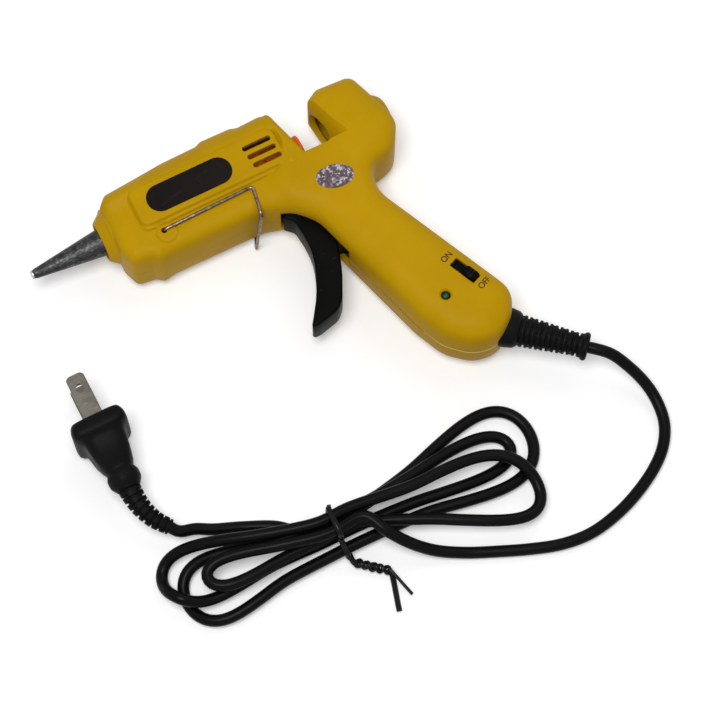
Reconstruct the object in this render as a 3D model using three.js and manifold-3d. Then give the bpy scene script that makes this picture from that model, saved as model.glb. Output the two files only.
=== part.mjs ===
// A small electric hot glue gun that lies on its right side, with its cord tied in a hank and its plug.
// The gun points its nozzle towards -X, its barrel top towards +Y and its left side towards +Z.
// All lengths are in millimetres. Body places are shares of the body's length and height.
import * as THREE from "three";
import { mergeVertices } from "three/addons/utils/BufferGeometryUtils.js";
import Module from "manifold-3d";

const wasm = await Module();
wasm.setup();

// Driving dimensions of the moulded body
const BODY_LENGTH = 110; // barrel face to the back of the butt
const BODY_HEIGHT = 110; // butt to the top of the barrel
const BODY_THICKNESS = 28;
const WALL = 2;
const EDGE_ROUND = 4.2;
const SEAM_GAP = 0.3;
const FIT_GAP = 0.3; // between pieces that touch on the real gun
const RUN_GAP = 0.4; // beside a piece that slides or turns
const OVERRUN = 1; // a cut passes the face that it opens by this
const BARREL_STEP = 1.8; // the barrel's side lies this far inside the side panel
const PANEL_CHAMFER = 0.6;
const RIB = 1.6;

// Round parts on the nozzle's axis
const STICK_BORE_RADIUS = 3.75; // for a 7 mm glue stick
const NOZZLE_REACH = 26; // tip to the collar's face
const NOZZLE_TIP_RADIUS = 1.5;
const NOZZLE_ORIFICE_RADIUS = 0.6;
const NOZZLE_BASE_RADIUS = 4.8;
const NOZZLE_SHANK_RADIUS = 4.1;
const NOZZLE_SHANK_LENGTH = 7;
const NOZZLE_FLANGE = 2;
const COLLAR_REACH = 3.3;
const COLLAR_TIP_RADIUS = 7;
const COLLAR_BASE_RADIUS = 10.3;
const COLLAR_BORE_RADIUS = 6.2;
const CHAMBER_RADIUS = 6.3;
const CHAMBER_TAIL_RADIUS = 4.9;
const CHAMBER_TAIL_LENGTH = 7;
const HEATER_DEPTH_SHARE = 0.1209; // of the body's height, so that the clip clears the casing's floor
const HEATER_BLOCK_DEPTH = HEATER_DEPTH_SHARE * BODY_HEIGHT; // axis to the underside of the block
const HEATER_BLOCK_WIDTH = 12;
const HEATER_THICKNESS = 2.4;
const HEATER_LENGTH = 18;
const HEATER_WIDTH = 9.4;
const HEATER_DROP_SHARE = 0.0855;
const HEATER_DROP = HEATER_DROP_SHARE * BODY_HEIGHT; // axis to the middle of the heater
const CLIP_THICKNESS = 0.6;
const CLIP_LENGTH = 10;
const SLEEVE_WALL = 1;
const SLEEVE_SHOULDER_LENGTH = 11;
const SLEEVE_CLAMP_WIDTH = 2;
const ENTRY_COLLAR_RADIUS = 6.3;
const ENTRY_COLLAR_REACH = 1.6;
const ENTRY_BORE_RADIUS = 4.4;
const RING_MOUTH_RADIUS = 5.6;

// Trigger and feed
const TRIGGER_THICKNESS = 12;
const TRIGGER_WALL = 1.8;
const TRIGGER_PIN_RADIUS = 1.3;
const TRIGGER_BOSS_RADIUS = 3.2;
const CASING_BOSS_RADIUS = 2.8;
const ARM_THICKNESS = 4;
const ARM_WIDTH = 4.4;
const LINK_PIN_RADIUS = 1.3;
const YOKE_WIDTH = 11.2;
const YOKE_PRONG = 1.6;
const YOKE_DROP = 8.2; // from the carriage's plate down past the link pin
const YOKE_HEAD = 5.3; // link pin's centre up to the plate
const PLATE_THICKNESS = 2;
const CARRIAGE_LENGTH = 5.6;
const CARRIAGE_WIDTH = 13;
const CARRIAGE_HEIGHT = 12;
const GRIP_THICKNESS = 0.7;
const GRIP_GAP = 0.95; // gripper to the entry collar, at rest
const SPRING_RADIUS = 2.3;
const SPRING_WIRE_RADIUS = 0.35;
const SPRING_TURNS = 9;

// Wire stand
const STAND_WIRE_RADIUS = 0.75;
const STAND_BEND_RADIUS = 1.6;
const STAND_GAP = 0.2; // wire to the barrel's side
const STAND_PIN_LENGTH = 5;
const STAND_BOSS_RADIUS = 2.4;

// Fasteners
const SCREW_HEAD_RADIUS = 2.2;
const SCREW_HEAD_HEIGHT = 1.8;
const SCREW_SHANK_RADIUS = 1.3;
const SCREW_SINK = 3; // head under the casing's face
const SCREW_GRIP = 7; // shank past the seam
const POST_RADIUS = 3.2;

// Switch, lamp and board
const SWITCH_WINDOW_LENGTH = 10.2;
const SWITCH_WINDOW_WIDTH = 3.9;
const SWITCH_TRAVEL = 4.6;
const SWITCH_BODY_LENGTH = 19;
const SWITCH_BODY_WIDTH = 5.6;
const SWITCH_BODY_HEIGHT = 6;
const SWITCH_TURN = THREE.MathUtils.degToRad(113.7);
const KNOB_BASE_SHARE = 0.109; // of the body's length, so that it stays inside the butt
const KNOB_BASE_LENGTH = KNOB_BASE_SHARE * BODY_LENGTH;
const KNOB_BASE_THICKNESS = 0.9;
const KNOB_PROUD = 0.6;
const LED_RADIUS = 1.5;
const LED_PROUD = 0.6;
const LED_RIM = 0.5;
const BOARD_LENGTH = 16;
const BOARD_WIDTH = 9.4;
const BOARD_THICKNESS = 1.6;
const BOARD_DEPTH = 6; // casing's inner face to the board
const LEAD_WIRE_RADIUS = 0.7;
const HEATER_LEAD_SPREAD = 8.8; // each side of the seam, where the leads pass the trigger

// Flat labels
const LABEL_LENGTH = 31;
const LABEL_WIDTH = 10;
const STICKER_LENGTH = 13;
const STICKER_WIDTH = 8.6;
const STICKER_THICKNESS = 0.3;
const VENT_LENGTH = 10.4;
const VENT_WIDTH = 1.4;

// Cord, relief and plug
const CORD_RADIUS = 2;
const CORD_END_GAP = 0.3;
const RELIEF_LENGTH = 28;
const RELIEF_TURN = THREE.MathUtils.degToRad(-42);
const RELIEF_FLANGE_RADIUS = 6.8;
const RELIEF_FLANGE_LENGTH = 4.5;
const RELIEF_BODY_RADIUS = 5.5;
const RELIEF_TIP_RADIUS = 4;
const RELIEF_COLLAR_RADIUS = 4.9;
const RELIEF_COLLAR_LENGTH = 4;
const RELIEF_RIBS = 10;
const RELIEF_GROOVE = 0.8;
const RELIEF_NECK_RADIUS = 3;
const RELIEF_LOCK_RADIUS = 4.6;
const RELIEF_LOCK_LENGTH = 1.6;
const RELIEF_LOCK_DEPTH = 3.8;
const BLADE_LENGTH = 16.5;
const BLADE_WIDTH = 6.35;
const BLADE_THICKNESS = 1.5;
const BLADE_PITCH = 12.7;
const BLADE_HOLE_RADIUS = 1.6;
const BLADE_ROOT = 6;
const PLUG_WIDTH = 16.4;
const PLUG_HEIGHT = 24;
const PLUG_FLANGE = 7;
const PLUG_BODY_LENGTH = 18;
const PLUG_WAIST = 8.8;
const PLUG_BEAD_RADIUS = 5.6;
const PLUG_BEAD_LENGTH = 7;
const PLUG_RELIEF_RADIUS = 4;
const PLUG_RELIEF_RIBS = 7;
const TIE_WIRE_RADIUS = 0.75;
const TIE_TWIST_RADIUS = 1;
const TIE_TWISTS = 5;

// Smoothness
const ROUND_SIDES = 24;
const SMALL_SIDES = 12;
const WIRE_SIDES = 6;
const CORD_SIDES = 8;
const FILLET_STEP = THREE.MathUtils.degToRad(30);
const SMALLEST_FILLET = 0.2;
const LOBE_STEPS = 16;

// Outline of the body: x share, y share and fillet share, anticlockwise from the barrel's lower front corner.
const BODY_OUTLINE_SHARES = [
  [0.017, 0.71, 0.027],
  [0.075, 0.703, 0.014],
  [0.098, 0.684, 0.018],
  [0.142, 0.69, 0.036],
  [0.441, 0.687, 0.109],
  [0.53, 0.654, 0.109],
  [0.585, 0.593, 0.127],
  [0.702, 0.177, 0.182],
  [0.745, 0.075, 0.127],
  [0.818, 0.009, 0.109],
  [0.9, 0, 0.109],
  [0.964, 0.05, 0.091],
  [1, 0.121, 0.109],
  [0.793, 0.591, 0.127],
  [0.8, 0.678, 0.032],
  [0.893, 0.696, 0.082],
  [0.937, 0.768, 0.064],
  [0.935, 0.809, 0.064],
  [0.897, 0.985, 0.041],
  [0.775, 0.985, 0.055],
  [0.742, 0.932, 0.082],
  [0.743, 0.808, 0.014],
  [0.643, 0.808, 0.014],
  [0.599, 0.991, 0.024],
  [0.5, 0.991, 0.018],
  [0.477, 1, 0.018],
  [0.377, 1, 0.018],
  [0.355, 0.991, 0.018],
  [0.236, 0.99, 0.182],
  [0.033, 0.964, 0.023],
  [0.004, 0.914, 0.045],
  [0, 0.764, 0.045],
];
// The lowered part of the side round the panel, and the opening that the trigger comes out of
const STEP_SHARES = [
  [-0.045, 0.545],
  [0.482, 0.545],
  [0.527, 0.691],
  [0.505, 0.782],
  [0.527, 0.814],
  [0.691, 0.814],
  [0.691, 1.045],
  [-0.045, 1.045],
];
const TRIGGER_SLOT_SHARES = [
  [0.49, 0.709],
  [0.49, 0.627],
  [0.518, 0.6],
  [0.523, 0.5],
  [0.61, 0.459],
  [0.645, 0.459],
  [0.645, 0.709],
];
const TRIGGER_OUTLINE_SHARES = [
  [0.495, 0.655, 0.004],
  [0.522, 0.629, 0.03],
  [0.527, 0.561, 0.2],
  [0.523, 0.506, 0.2],
  [0.504, 0.452, 0.2],
  [0.472, 0.382, 0.2],
  [0.429, 0.32, 0.1],
  [0.41, 0.294, 0.012],
  [0.44, 0.293, 0.03],
  [0.511, 0.31, 0.05],
  [0.538, 0.338, 0.06],
  [0.575, 0.411, 0.2],
  [0.6, 0.478, 0.2],
  [0.612, 0.515, 0.02],
  [0.614, 0.564, 0.02],
  [0.591, 0.645, 0.03],
  [0.555, 0.686, 0.03],
  [0.523, 0.684, 0.02],
];
// The trigger's hollow, open at the back, and the web that joins it to its pivot boss
const TRIGGER_CHANNEL_SHARES = [
  [0.7, 0.36],
  [0.7, 0.633],
  [0.543, 0.633],
  [0.547, 0.561],
  [0.542, 0.501],
  [0.523, 0.446],
  [0.493, 0.378],
  [0.468, 0.335],
  [0.502, 0.335],
  [0.53, 0.36],
];
const TRIGGER_LUG_SHARES = [
  [0.6, 0.511],
  [0.6, 0.568],
];
const AXIS_SHARE = 0.857;
const PANEL_SHARES = [0.097, 0.791, 0.584, 0.92];
const PANEL_FILLET_SHARE = 0.02;
const LABEL_SHARES = [0.279, 0.855];
const STICKER_SHARES = [0.69, 0.693];
const VENT_SHARES = [
  [0.521, 0.884],
  [0.524, 0.852],
  [0.528, 0.82],
];
const TRIGGER_PIVOT_SHARES = [0.645, 0.527];
const LINK_PIN_SHARES = [0.736, 0.691];
const STAND_PIVOT_SHARES = [0.147, 0.759];
const STAND_ELBOW_SHARES = [0.449, 0.765];
const STAND_NEAR_SHARES = [0.431, 0.668];
const STAND_FAR_SHARES = [0.402, 0.664];
const LED_SHARES = [0.804, 0.179];
const SWITCH_SHARES = [0.893, 0.223];
const SCREW_SHARES = [
  [0.427, 0.957],
  [0.105, 0.726],
  [0.857, 0.945],
  [0.755, 0.4],
  [0.786, 0.09],
];
const RELIEF_SHARES = [0.945, 0.042];
const CHAMBER_SHARES = [0.028, 0.427]; // ends along the body
const CHAMBER_RIB_SHARES = [0.073, 0.345];
const BLOCK_SHARES = [0.145, 0.32];
const CLIP_SHARE = 0.25;
const SLEEVE_SHARES = [0.373, 0.652];
const HEATER_LEAD_SHARES = [
  [0.7, 0.385],
  [0.691, 0.455],
  [0.709, 0.545],
  [0.7, 0.645],
  [0.62, 0.698],
  [0.535, 0.704],
  [0.455, 0.715],
];
const HEATER_LEAD_TURN_SHARES = [
  [0.39, 0.72],
  [0.345, 0.72],
];
const SPRING_SHARES = [0.545, 0.755]; // height and middle of the return spring
const CARRIAGE_RAIL_SHARES = [0.77, 0.885];

// Free cord, in the body's frame with z above the table: from the strain relief to the hank's end
const LEAD_ROUTE = [
  [130.6, -19.3, 13],
  [134.6, -25.2, 9.5],
  [137.6, -31.5, 5.6],
  [138.6, -38, 3.2],
  [137.2, -46, 2.3],
  [133, -52.6, 2.1],
  [126.5, -58, 2.1],
  [116.5, -63.2, 2.1],
  [107, -66.4, 2.1],
  [97, -68, 2.1],
  [87, -67, 2.1],
  [77, -63.8, 2.1],
  [67, -59.6, 2.1],
  [57, -55, 2.3],
  [48, -50, 4.2],
  [41, -44.6, 8.6],
  [35.8, -38.4, 12.4],
];
// From the hank's other end to the plug's relief
const TAIL_ROUTE = [
  [6.5, -19.2, 2.6],
  [-3.5, -14, 2.4],
  [-13.7, -10.1, 3.8],
  [-20.4, -7, 5.4],
];
const TIE_PLACE = [22.7, -31.05];
const STRAND_PITCH = 4.54;
const CORD_REST = 0.1; // the cord's underside above the table
const PASS_LENGTH = 10;
const LOBE_FULLNESS = 0.62;
// Columns and layers that the seven runs take through the tie, in order along the cord
const PASS_SLOTS = [
  [1, 0],
  [-1.15, 0],
  [1, 1],
  [0, 0],
  [1, 2],
  [0, 1],
  [0, 2],
];
// The six lobes between the runs: far point, half width, layer at the far point,
// and where a lobe climbs over another, its crest's place, spread and height
const LOBES = [
  { far: [95.4, -27.8], half: 12.5, layer: 0, crest: [0.5, 0.1, 0] },
  { far: [-31.4, -28.2], half: 10, layer: 0, crest: [0.5, 0.1, 0] },
  { far: [87.4, -29.1], half: 6.2, layer: 0, crest: [0.5, 0.1, 0] },
  { far: [-35.8, -20.5], half: 9, layer: 0, crest: [0.39, 0.11, 5.2] },
  { far: [88.6, -45.2], half: 11.4, layer: 0.5, crest: [0.38, 0.14, 3] },
  { far: [-22.4, -26], half: 4.4, layer: 1.6, crest: [0.5, 0.1, 0] },
];
const PLUG_FACE = [-33.6, 38, 12]; // middle of the plug's face
const PLUG_RELIEF_ROUTE = [
  [-33.6, 11.6, 12],
  [-33, 6, 10.8],
  [-30.6, 0.4, 9],
  [-26.4, -4.2, 7.2],
];
const TIE_TAIL = [
  [23, -41.6, 3.2],
  [32.4, -48.8, 2],
];
const TIE_ENDS = [
  [28.8, -62.2, 0.9],
  [35.2, -59, 0.9],
];

const half = BODY_THICKNESS / 2;
const barrelHalf = half - BARREL_STEP;
const axisY = AXIS_SHARE * BODY_HEIGHT;
const collarFace = -COLLAR_REACH;

// A place on the body from its two shares
function at([xShare, yShare]) {
  return [xShare * BODY_LENGTH, yShare * BODY_HEIGHT];
}

// A closed three.js geometry as a solid, its faces turned outward
function solid(geometry) {
  const bare = new THREE.BufferGeometry();
  bare.setAttribute("position", geometry.getAttribute("position"));
  if (geometry.index) bare.setIndex(geometry.index);
  const merged = mergeVertices(bare, 1e-4);
  const place = merged.getAttribute("position").array;
  const faces = [];
  const source = merged.index.array;
  for (let i = 0; i < source.length; i += 3) {
    const [a, b, c] = source.slice(i, i + 3);
    if (a !== b && b !== c && c !== a) faces.push(a, b, c);
  }
  let volume = 0;
  const corner = (i) => new THREE.Vector3().fromArray(place, 3 * i);
  for (let i = 0; i < faces.length; i += 3) {
    volume += corner(faces[i]).dot(corner(faces[i + 1]).cross(corner(faces[i + 2])));
  }
  if (volume < 0) faces.reverse();
  return new wasm.Manifold(
    new wasm.Mesh({
      numProp: 3,
      vertProperties: place,
      triVerts: new Uint32Array(faces),
    }),
  );
}

function block(x0, x1, y0, y1, z0, z1) {
  const geometry = new THREE.BoxGeometry(x1 - x0, y1 - y0, z1 - z0);
  geometry.translate((x0 + x1) / 2, (y0 + y1) / 2, (z0 + z1) / 2);
  return solid(geometry);
}

// A round rod along Z
function rod(radius, [x, y], z0, z1, sides = SMALL_SIDES) {
  const geometry = new THREE.CylinderGeometry(radius, radius, z1 - z0, sides);
  geometry.rotateX(Math.PI / 2);
  geometry.translate(x, y, (z0 + z1) / 2);
  return solid(geometry);
}

// A turned part: pairs of distance along the axis and radius, its axis from a place in the XY plane
function turned(profile, [x, y], turn = 0, sides = ROUND_SIDES, z = 0) {
  const points = profile.map(([along, radius]) => new THREE.Vector2(radius, along));
  const geometry = new THREE.LatheGeometry(points, sides);
  geometry.rotateZ(turn - Math.PI / 2);
  geometry.translate(x, y, z);
  return solid(geometry);
}

// A tube's wall, or a solid rod where the bore is zero, along the nozzle's axis
function sleeveAlongX(x0, x1, radius, bore, sides = ROUND_SIDES) {
  const profile = [
    [x0, bore],
    [x0, radius],
    [x1, radius],
    [x1, bore],
  ];
  if (bore > 0) profile.push([x0, bore]);
  return turned(profile, [0, axisY], 0, sides);
}

// Corners with fillets: their step count depends only on how far the outline turns there.
function corners(shares, width = BODY_LENGTH, height = BODY_HEIGHT) {
  const list = shares.map(([x, y, fillet = 0]) => ({
    x: x * width,
    y: y * height,
    r: fillet * width,
  }));
  return list.map((corner, i) => {
    const { angle } = turnAt(list, i);
    const steps = corner.r > 0 ? Math.max(1, Math.round(Math.abs(angle) / FILLET_STEP)) : 0;
    return { ...corner, steps };
  });
}

function turnAt(list, i) {
  const here = list[i];
  const before = list.at(i - 1);
  const after = list[(i + 1) % list.length];
  const inward = new THREE.Vector2(here.x - before.x, here.y - before.y);
  const outward = new THREE.Vector2(after.x - here.x, after.y - here.y);
  const room = Math.min(inward.length(), outward.length());
  inward.normalize();
  outward.normalize();
  const angle = Math.atan2(inward.cross(outward), inward.dot(outward));
  return { inward, outward, room, angle };
}

// The same corners moved in from the outline by a distance
function inset(list, distance) {
  return list.map((corner, i) => {
    const { inward, outward, angle } = turnAt(list, i);
    const share = distance / (1 + inward.dot(outward));
    const moved = angle > 0 ? corner.r - distance : corner.r + distance;
    return {
      x: corner.x - (inward.y + outward.y) * share,
      y: corner.y + (inward.x + outward.x) * share,
      r: Math.max(moved, SMALLEST_FILLET),
      steps: corner.steps,
    };
  });
}

function outline(list) {
  const points = [];
  list.forEach((corner, i) => {
    if (corner.steps === 0) {
      points.push(new THREE.Vector2(corner.x, corner.y));
      return;
    }
    const { inward, room, angle } = turnAt(list, i);
    const slope = Math.tan(Math.abs(angle) / 2);
    const radius = Math.min(corner.r, (0.49 * room) / slope);
    const side = Math.sign(angle);
    const start = new THREE.Vector2(corner.x, corner.y).addScaledVector(inward, -radius * slope);
    const across = new THREE.Vector2(-inward.y, inward.x).multiplyScalar(side * radius);
    const centre = start.clone().add(across);
    for (let step = 0; step <= corner.steps; step += 1) {
      const spoke = across.clone().negate();
      spoke.rotateAround(new THREE.Vector2(), (angle * step) / corner.steps);
      points.push(centre.clone().add(spoke));
    }
  });
  return points;
}

// A straight plate of an outline between two heights
function plate(list, z0, z1) {
  const shape = new THREE.Shape(outline(list));
  const geometry = new THREE.ExtrudeGeometry(shape, {
    depth: z1 - z0,
    bevelEnabled: false,
  });
  geometry.translate(0, 0, z0);
  return solid(geometry);
}

// A closed skin over rings of equally many points, with a flat face at each end
function skin(rings) {
  const count = rings[0].length;
  const place = rings.flat().flatMap((point) => [point.x, point.y, point.z]);
  const faces = [];
  rings.slice(1).forEach((ring, level) => {
    ring.forEach((point, i) => {
      const next = (i + 1) % count;
      const low = level * count;
      const high = low + count;
      faces.push(low + i, low + next, high + next, low + i, high + next, high + i);
    });
  });
  return { place, faces, count, last: (rings.length - 1) * count };
}

function geometryOf(place, faces) {
  const geometry = new THREE.BufferGeometry();
  geometry.setAttribute("position", new THREE.Float32BufferAttribute(place, 3));
  geometry.setIndex(faces);
  return geometry;
}

// Outlines at rising heights joined into one solid
function loft(levels) {
  const rings = levels.map(({ list, z }) =>
    outline(list).map((point) => new THREE.Vector3(point.x, point.y, z)),
  );
  const { place, faces, last } = skin(rings);
  const cap = THREE.ShapeUtils.triangulateShape(rings[0], []);
  cap.forEach(([a, b, c]) => faces.push(a, c, b));
  const lid = THREE.ShapeUtils.triangulateShape(rings.at(-1), []);
  lid.forEach(([a, b, c]) => faces.push(last + a, last + b, last + c));
  return solid(geometryOf(place, faces));
}

// A round tube through points, each with its own radius, its ends closed by fans
function tube(points, radiusAt, sides = WIRE_SIDES) {
  const tangents = points.map((point, i) => {
    const ahead = points[Math.min(i + 1, points.length - 1)];
    const behind = points[Math.max(i - 1, 0)];
    return ahead.clone().sub(behind).normalize();
  });
  const normal = new THREE.Vector3(0, 0, 1);
  if (Math.abs(tangents[0].z) > Math.SQRT1_2) normal.set(1, 0, 0);
  normal.addScaledVector(tangents[0], -normal.dot(tangents[0])).normalize();
  const rings = points.map((point, i) => {
    normal.addScaledVector(tangents[i], -normal.dot(tangents[i])).normalize();
    const binormal = tangents[i].clone().cross(normal);
    const radius = typeof radiusAt === "number" ? radiusAt : radiusAt(i);
    return Array.from({ length: sides }, (_, k) => {
      const angle = (2 * Math.PI * k) / sides;
      return point
        .clone()
        .addScaledVector(normal, radius * Math.cos(angle))
        .addScaledVector(binormal, radius * Math.sin(angle));
    });
  });
  const { place, faces, count, last } = skin(rings);
  for (let k = 1; k < count - 1; k += 1) {
    faces.push(0, k + 1, k, last, last + k, last + k + 1);
  }
  return geometryOf(place, faces);
}

// A smooth path through chosen points, stepped evenly
function smoothPath(points, spacing) {
  const curve = new THREE.CatmullRomCurve3(
    points.map((point) => new THREE.Vector3(...point)),
    false,
    "centripetal",
  );
  return { curve, steps: Math.ceil(curve.getLength() / spacing) };
}

// A plain cord, as a round section pushed along a smooth path
function cordAlong(points, radius, spacing, sides) {
  const { curve, steps } = smoothPath(points, spacing);
  const section = new THREE.Shape(
    Array.from({ length: sides }, (_, k) => {
      const angle = (2 * Math.PI * k) / sides;
      return new THREE.Vector2(radius * Math.cos(angle), radius * Math.sin(angle));
    }),
  );
  return solid(
    new THREE.ExtrudeGeometry(section, {
      steps,
      bevelEnabled: false,
      extrudePath: curve,
    }),
  );
}

// A path through corners, each rounded by the same bend
function bentPath(places, bend) {
  const points = [];
  places.forEach((place, i) => {
    const here = new THREE.Vector3(...place);
    if (i === 0 || i === places.length - 1) {
      points.push(here);
      return;
    }
    const back = new THREE.Vector3(...places[i - 1]).sub(here);
    const ahead = new THREE.Vector3(...places[i + 1]).sub(here);
    const room = Math.min(back.length(), ahead.length());
    back.normalize();
    ahead.normalize();
    const reach = Math.min(bend / Math.tan(back.angleTo(ahead) / 2), 0.45 * room);
    const from = here.clone().addScaledVector(back, reach);
    const to = here.clone().addScaledVector(ahead, reach);
    points.push(...new THREE.QuadraticBezierCurve3(from, here, to).getPoints(4));
  });
  return points;
}

function helix(start, end, radius, turns, stepsPerTurn, phase = 0) {
  const axis = end.clone().sub(start);
  const along = axis.clone().normalize();
  const across = new THREE.Vector3(0, 0, 1);
  const third = along.clone().cross(across);
  const steps = Math.round(turns * stepsPerTurn);
  return Array.from({ length: steps + 1 }, (_, i) => {
    const angle = phase + (2 * Math.PI * turns * i) / steps;
    return start
      .clone()
      .addScaledVector(axis, i / steps)
      .addScaledVector(across, radius * Math.cos(angle))
      .addScaledVector(third, radius * Math.sin(angle));
  });
}

const finish = (color, roughness, metalness = 0) =>
  new THREE.MeshStandardMaterial({ color, roughness, metalness });
const yellowPlastic = finish(0xd9a80e, 0.42);
const blackPlastic = finish(0x151517, 0.4);
const blackRubber = finish(0x101011, 0.6);
const cordRubber = finish(0x0c0c0d, 0.35);
const greyCasting = finish(0x5d6064, 0.5, 0.8);
const brightSteel = finish(0xb9bcc0, 0.25, 1);
const brownCeramic = finish(0x8a6a50, 0.7);
const orangeSilicone = finish(0xc6431a, 0.5);
const greenLens = finish(0x1e7a3c, 0.2);
const greenBoard = finish(0x1c5a34, 0.6);
const labelFilm = finish(0x0f0e0c, 0.35);
const silverFilm = finish(0xa9a3a6, 0.3, 0.8);
const redInsulation = finish(0x9c1b12, 0.5);

const gun = new THREE.Group();
const cordSet = new THREE.Group();

function add(group, name, body, material) {
  const data = body.getMesh();
  const geometry = geometryOf(Array.from(data.vertProperties), Array.from(data.triVerts));
  geometry.computeVertexNormals();
  const mesh = new THREE.Mesh(geometry, material);
  mesh.name = name;
  group.add(mesh);
  return mesh;
}

const join = (first, ...rest) => rest.reduce((sum, body) => sum.add(body), first);
const cut = (first, ...rest) => rest.reduce((left, body) => left.subtract(body), first);

// Casing halves
const bodyCorners = corners(BODY_OUTLINE_SHARES);
const stepCorners = corners(STEP_SHARES);
const [panelX0, panelY0] = at(PANEL_SHARES.slice(0, 2));
const [panelX1, panelY1] = at(PANEL_SHARES.slice(2));
const panelFillet = PANEL_FILLET_SHARE * BODY_LENGTH;
const panelCorners = corners(
  [
    [panelX0, panelY0, panelFillet],
    [panelX1, panelY0, panelFillet],
    [panelX1, panelY1, panelFillet],
    [panelX0, panelY1, panelFillet],
  ],
  1,
  1,
);

// One half of the body as it would be if it were solid, grown or shrunk by an offset
function halfBody(side, offset, seam) {
  const round = EDGE_ROUND - offset;
  const top = half - offset;
  const angles = [0, Math.PI / 4, Math.PI / 2];
  const levels = angles.map((angle) => ({
    list: inset(bodyCorners, offset + round * (1 - Math.cos(angle))),
    z: side * (top - round + round * Math.sin(angle)),
  }));
  const base = { list: inset(bodyCorners, offset), z: side * seam };
  const raised = loft([base, ...levels]);
  const stepTool = loft([
    { list: inset(stepCorners, -offset), z: side * (barrelHalf - offset) },
    { list: inset(stepCorners, -offset), z: side * (half + OVERRUN) },
  ]);
  return cut(raised, stepTool);
}

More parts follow.
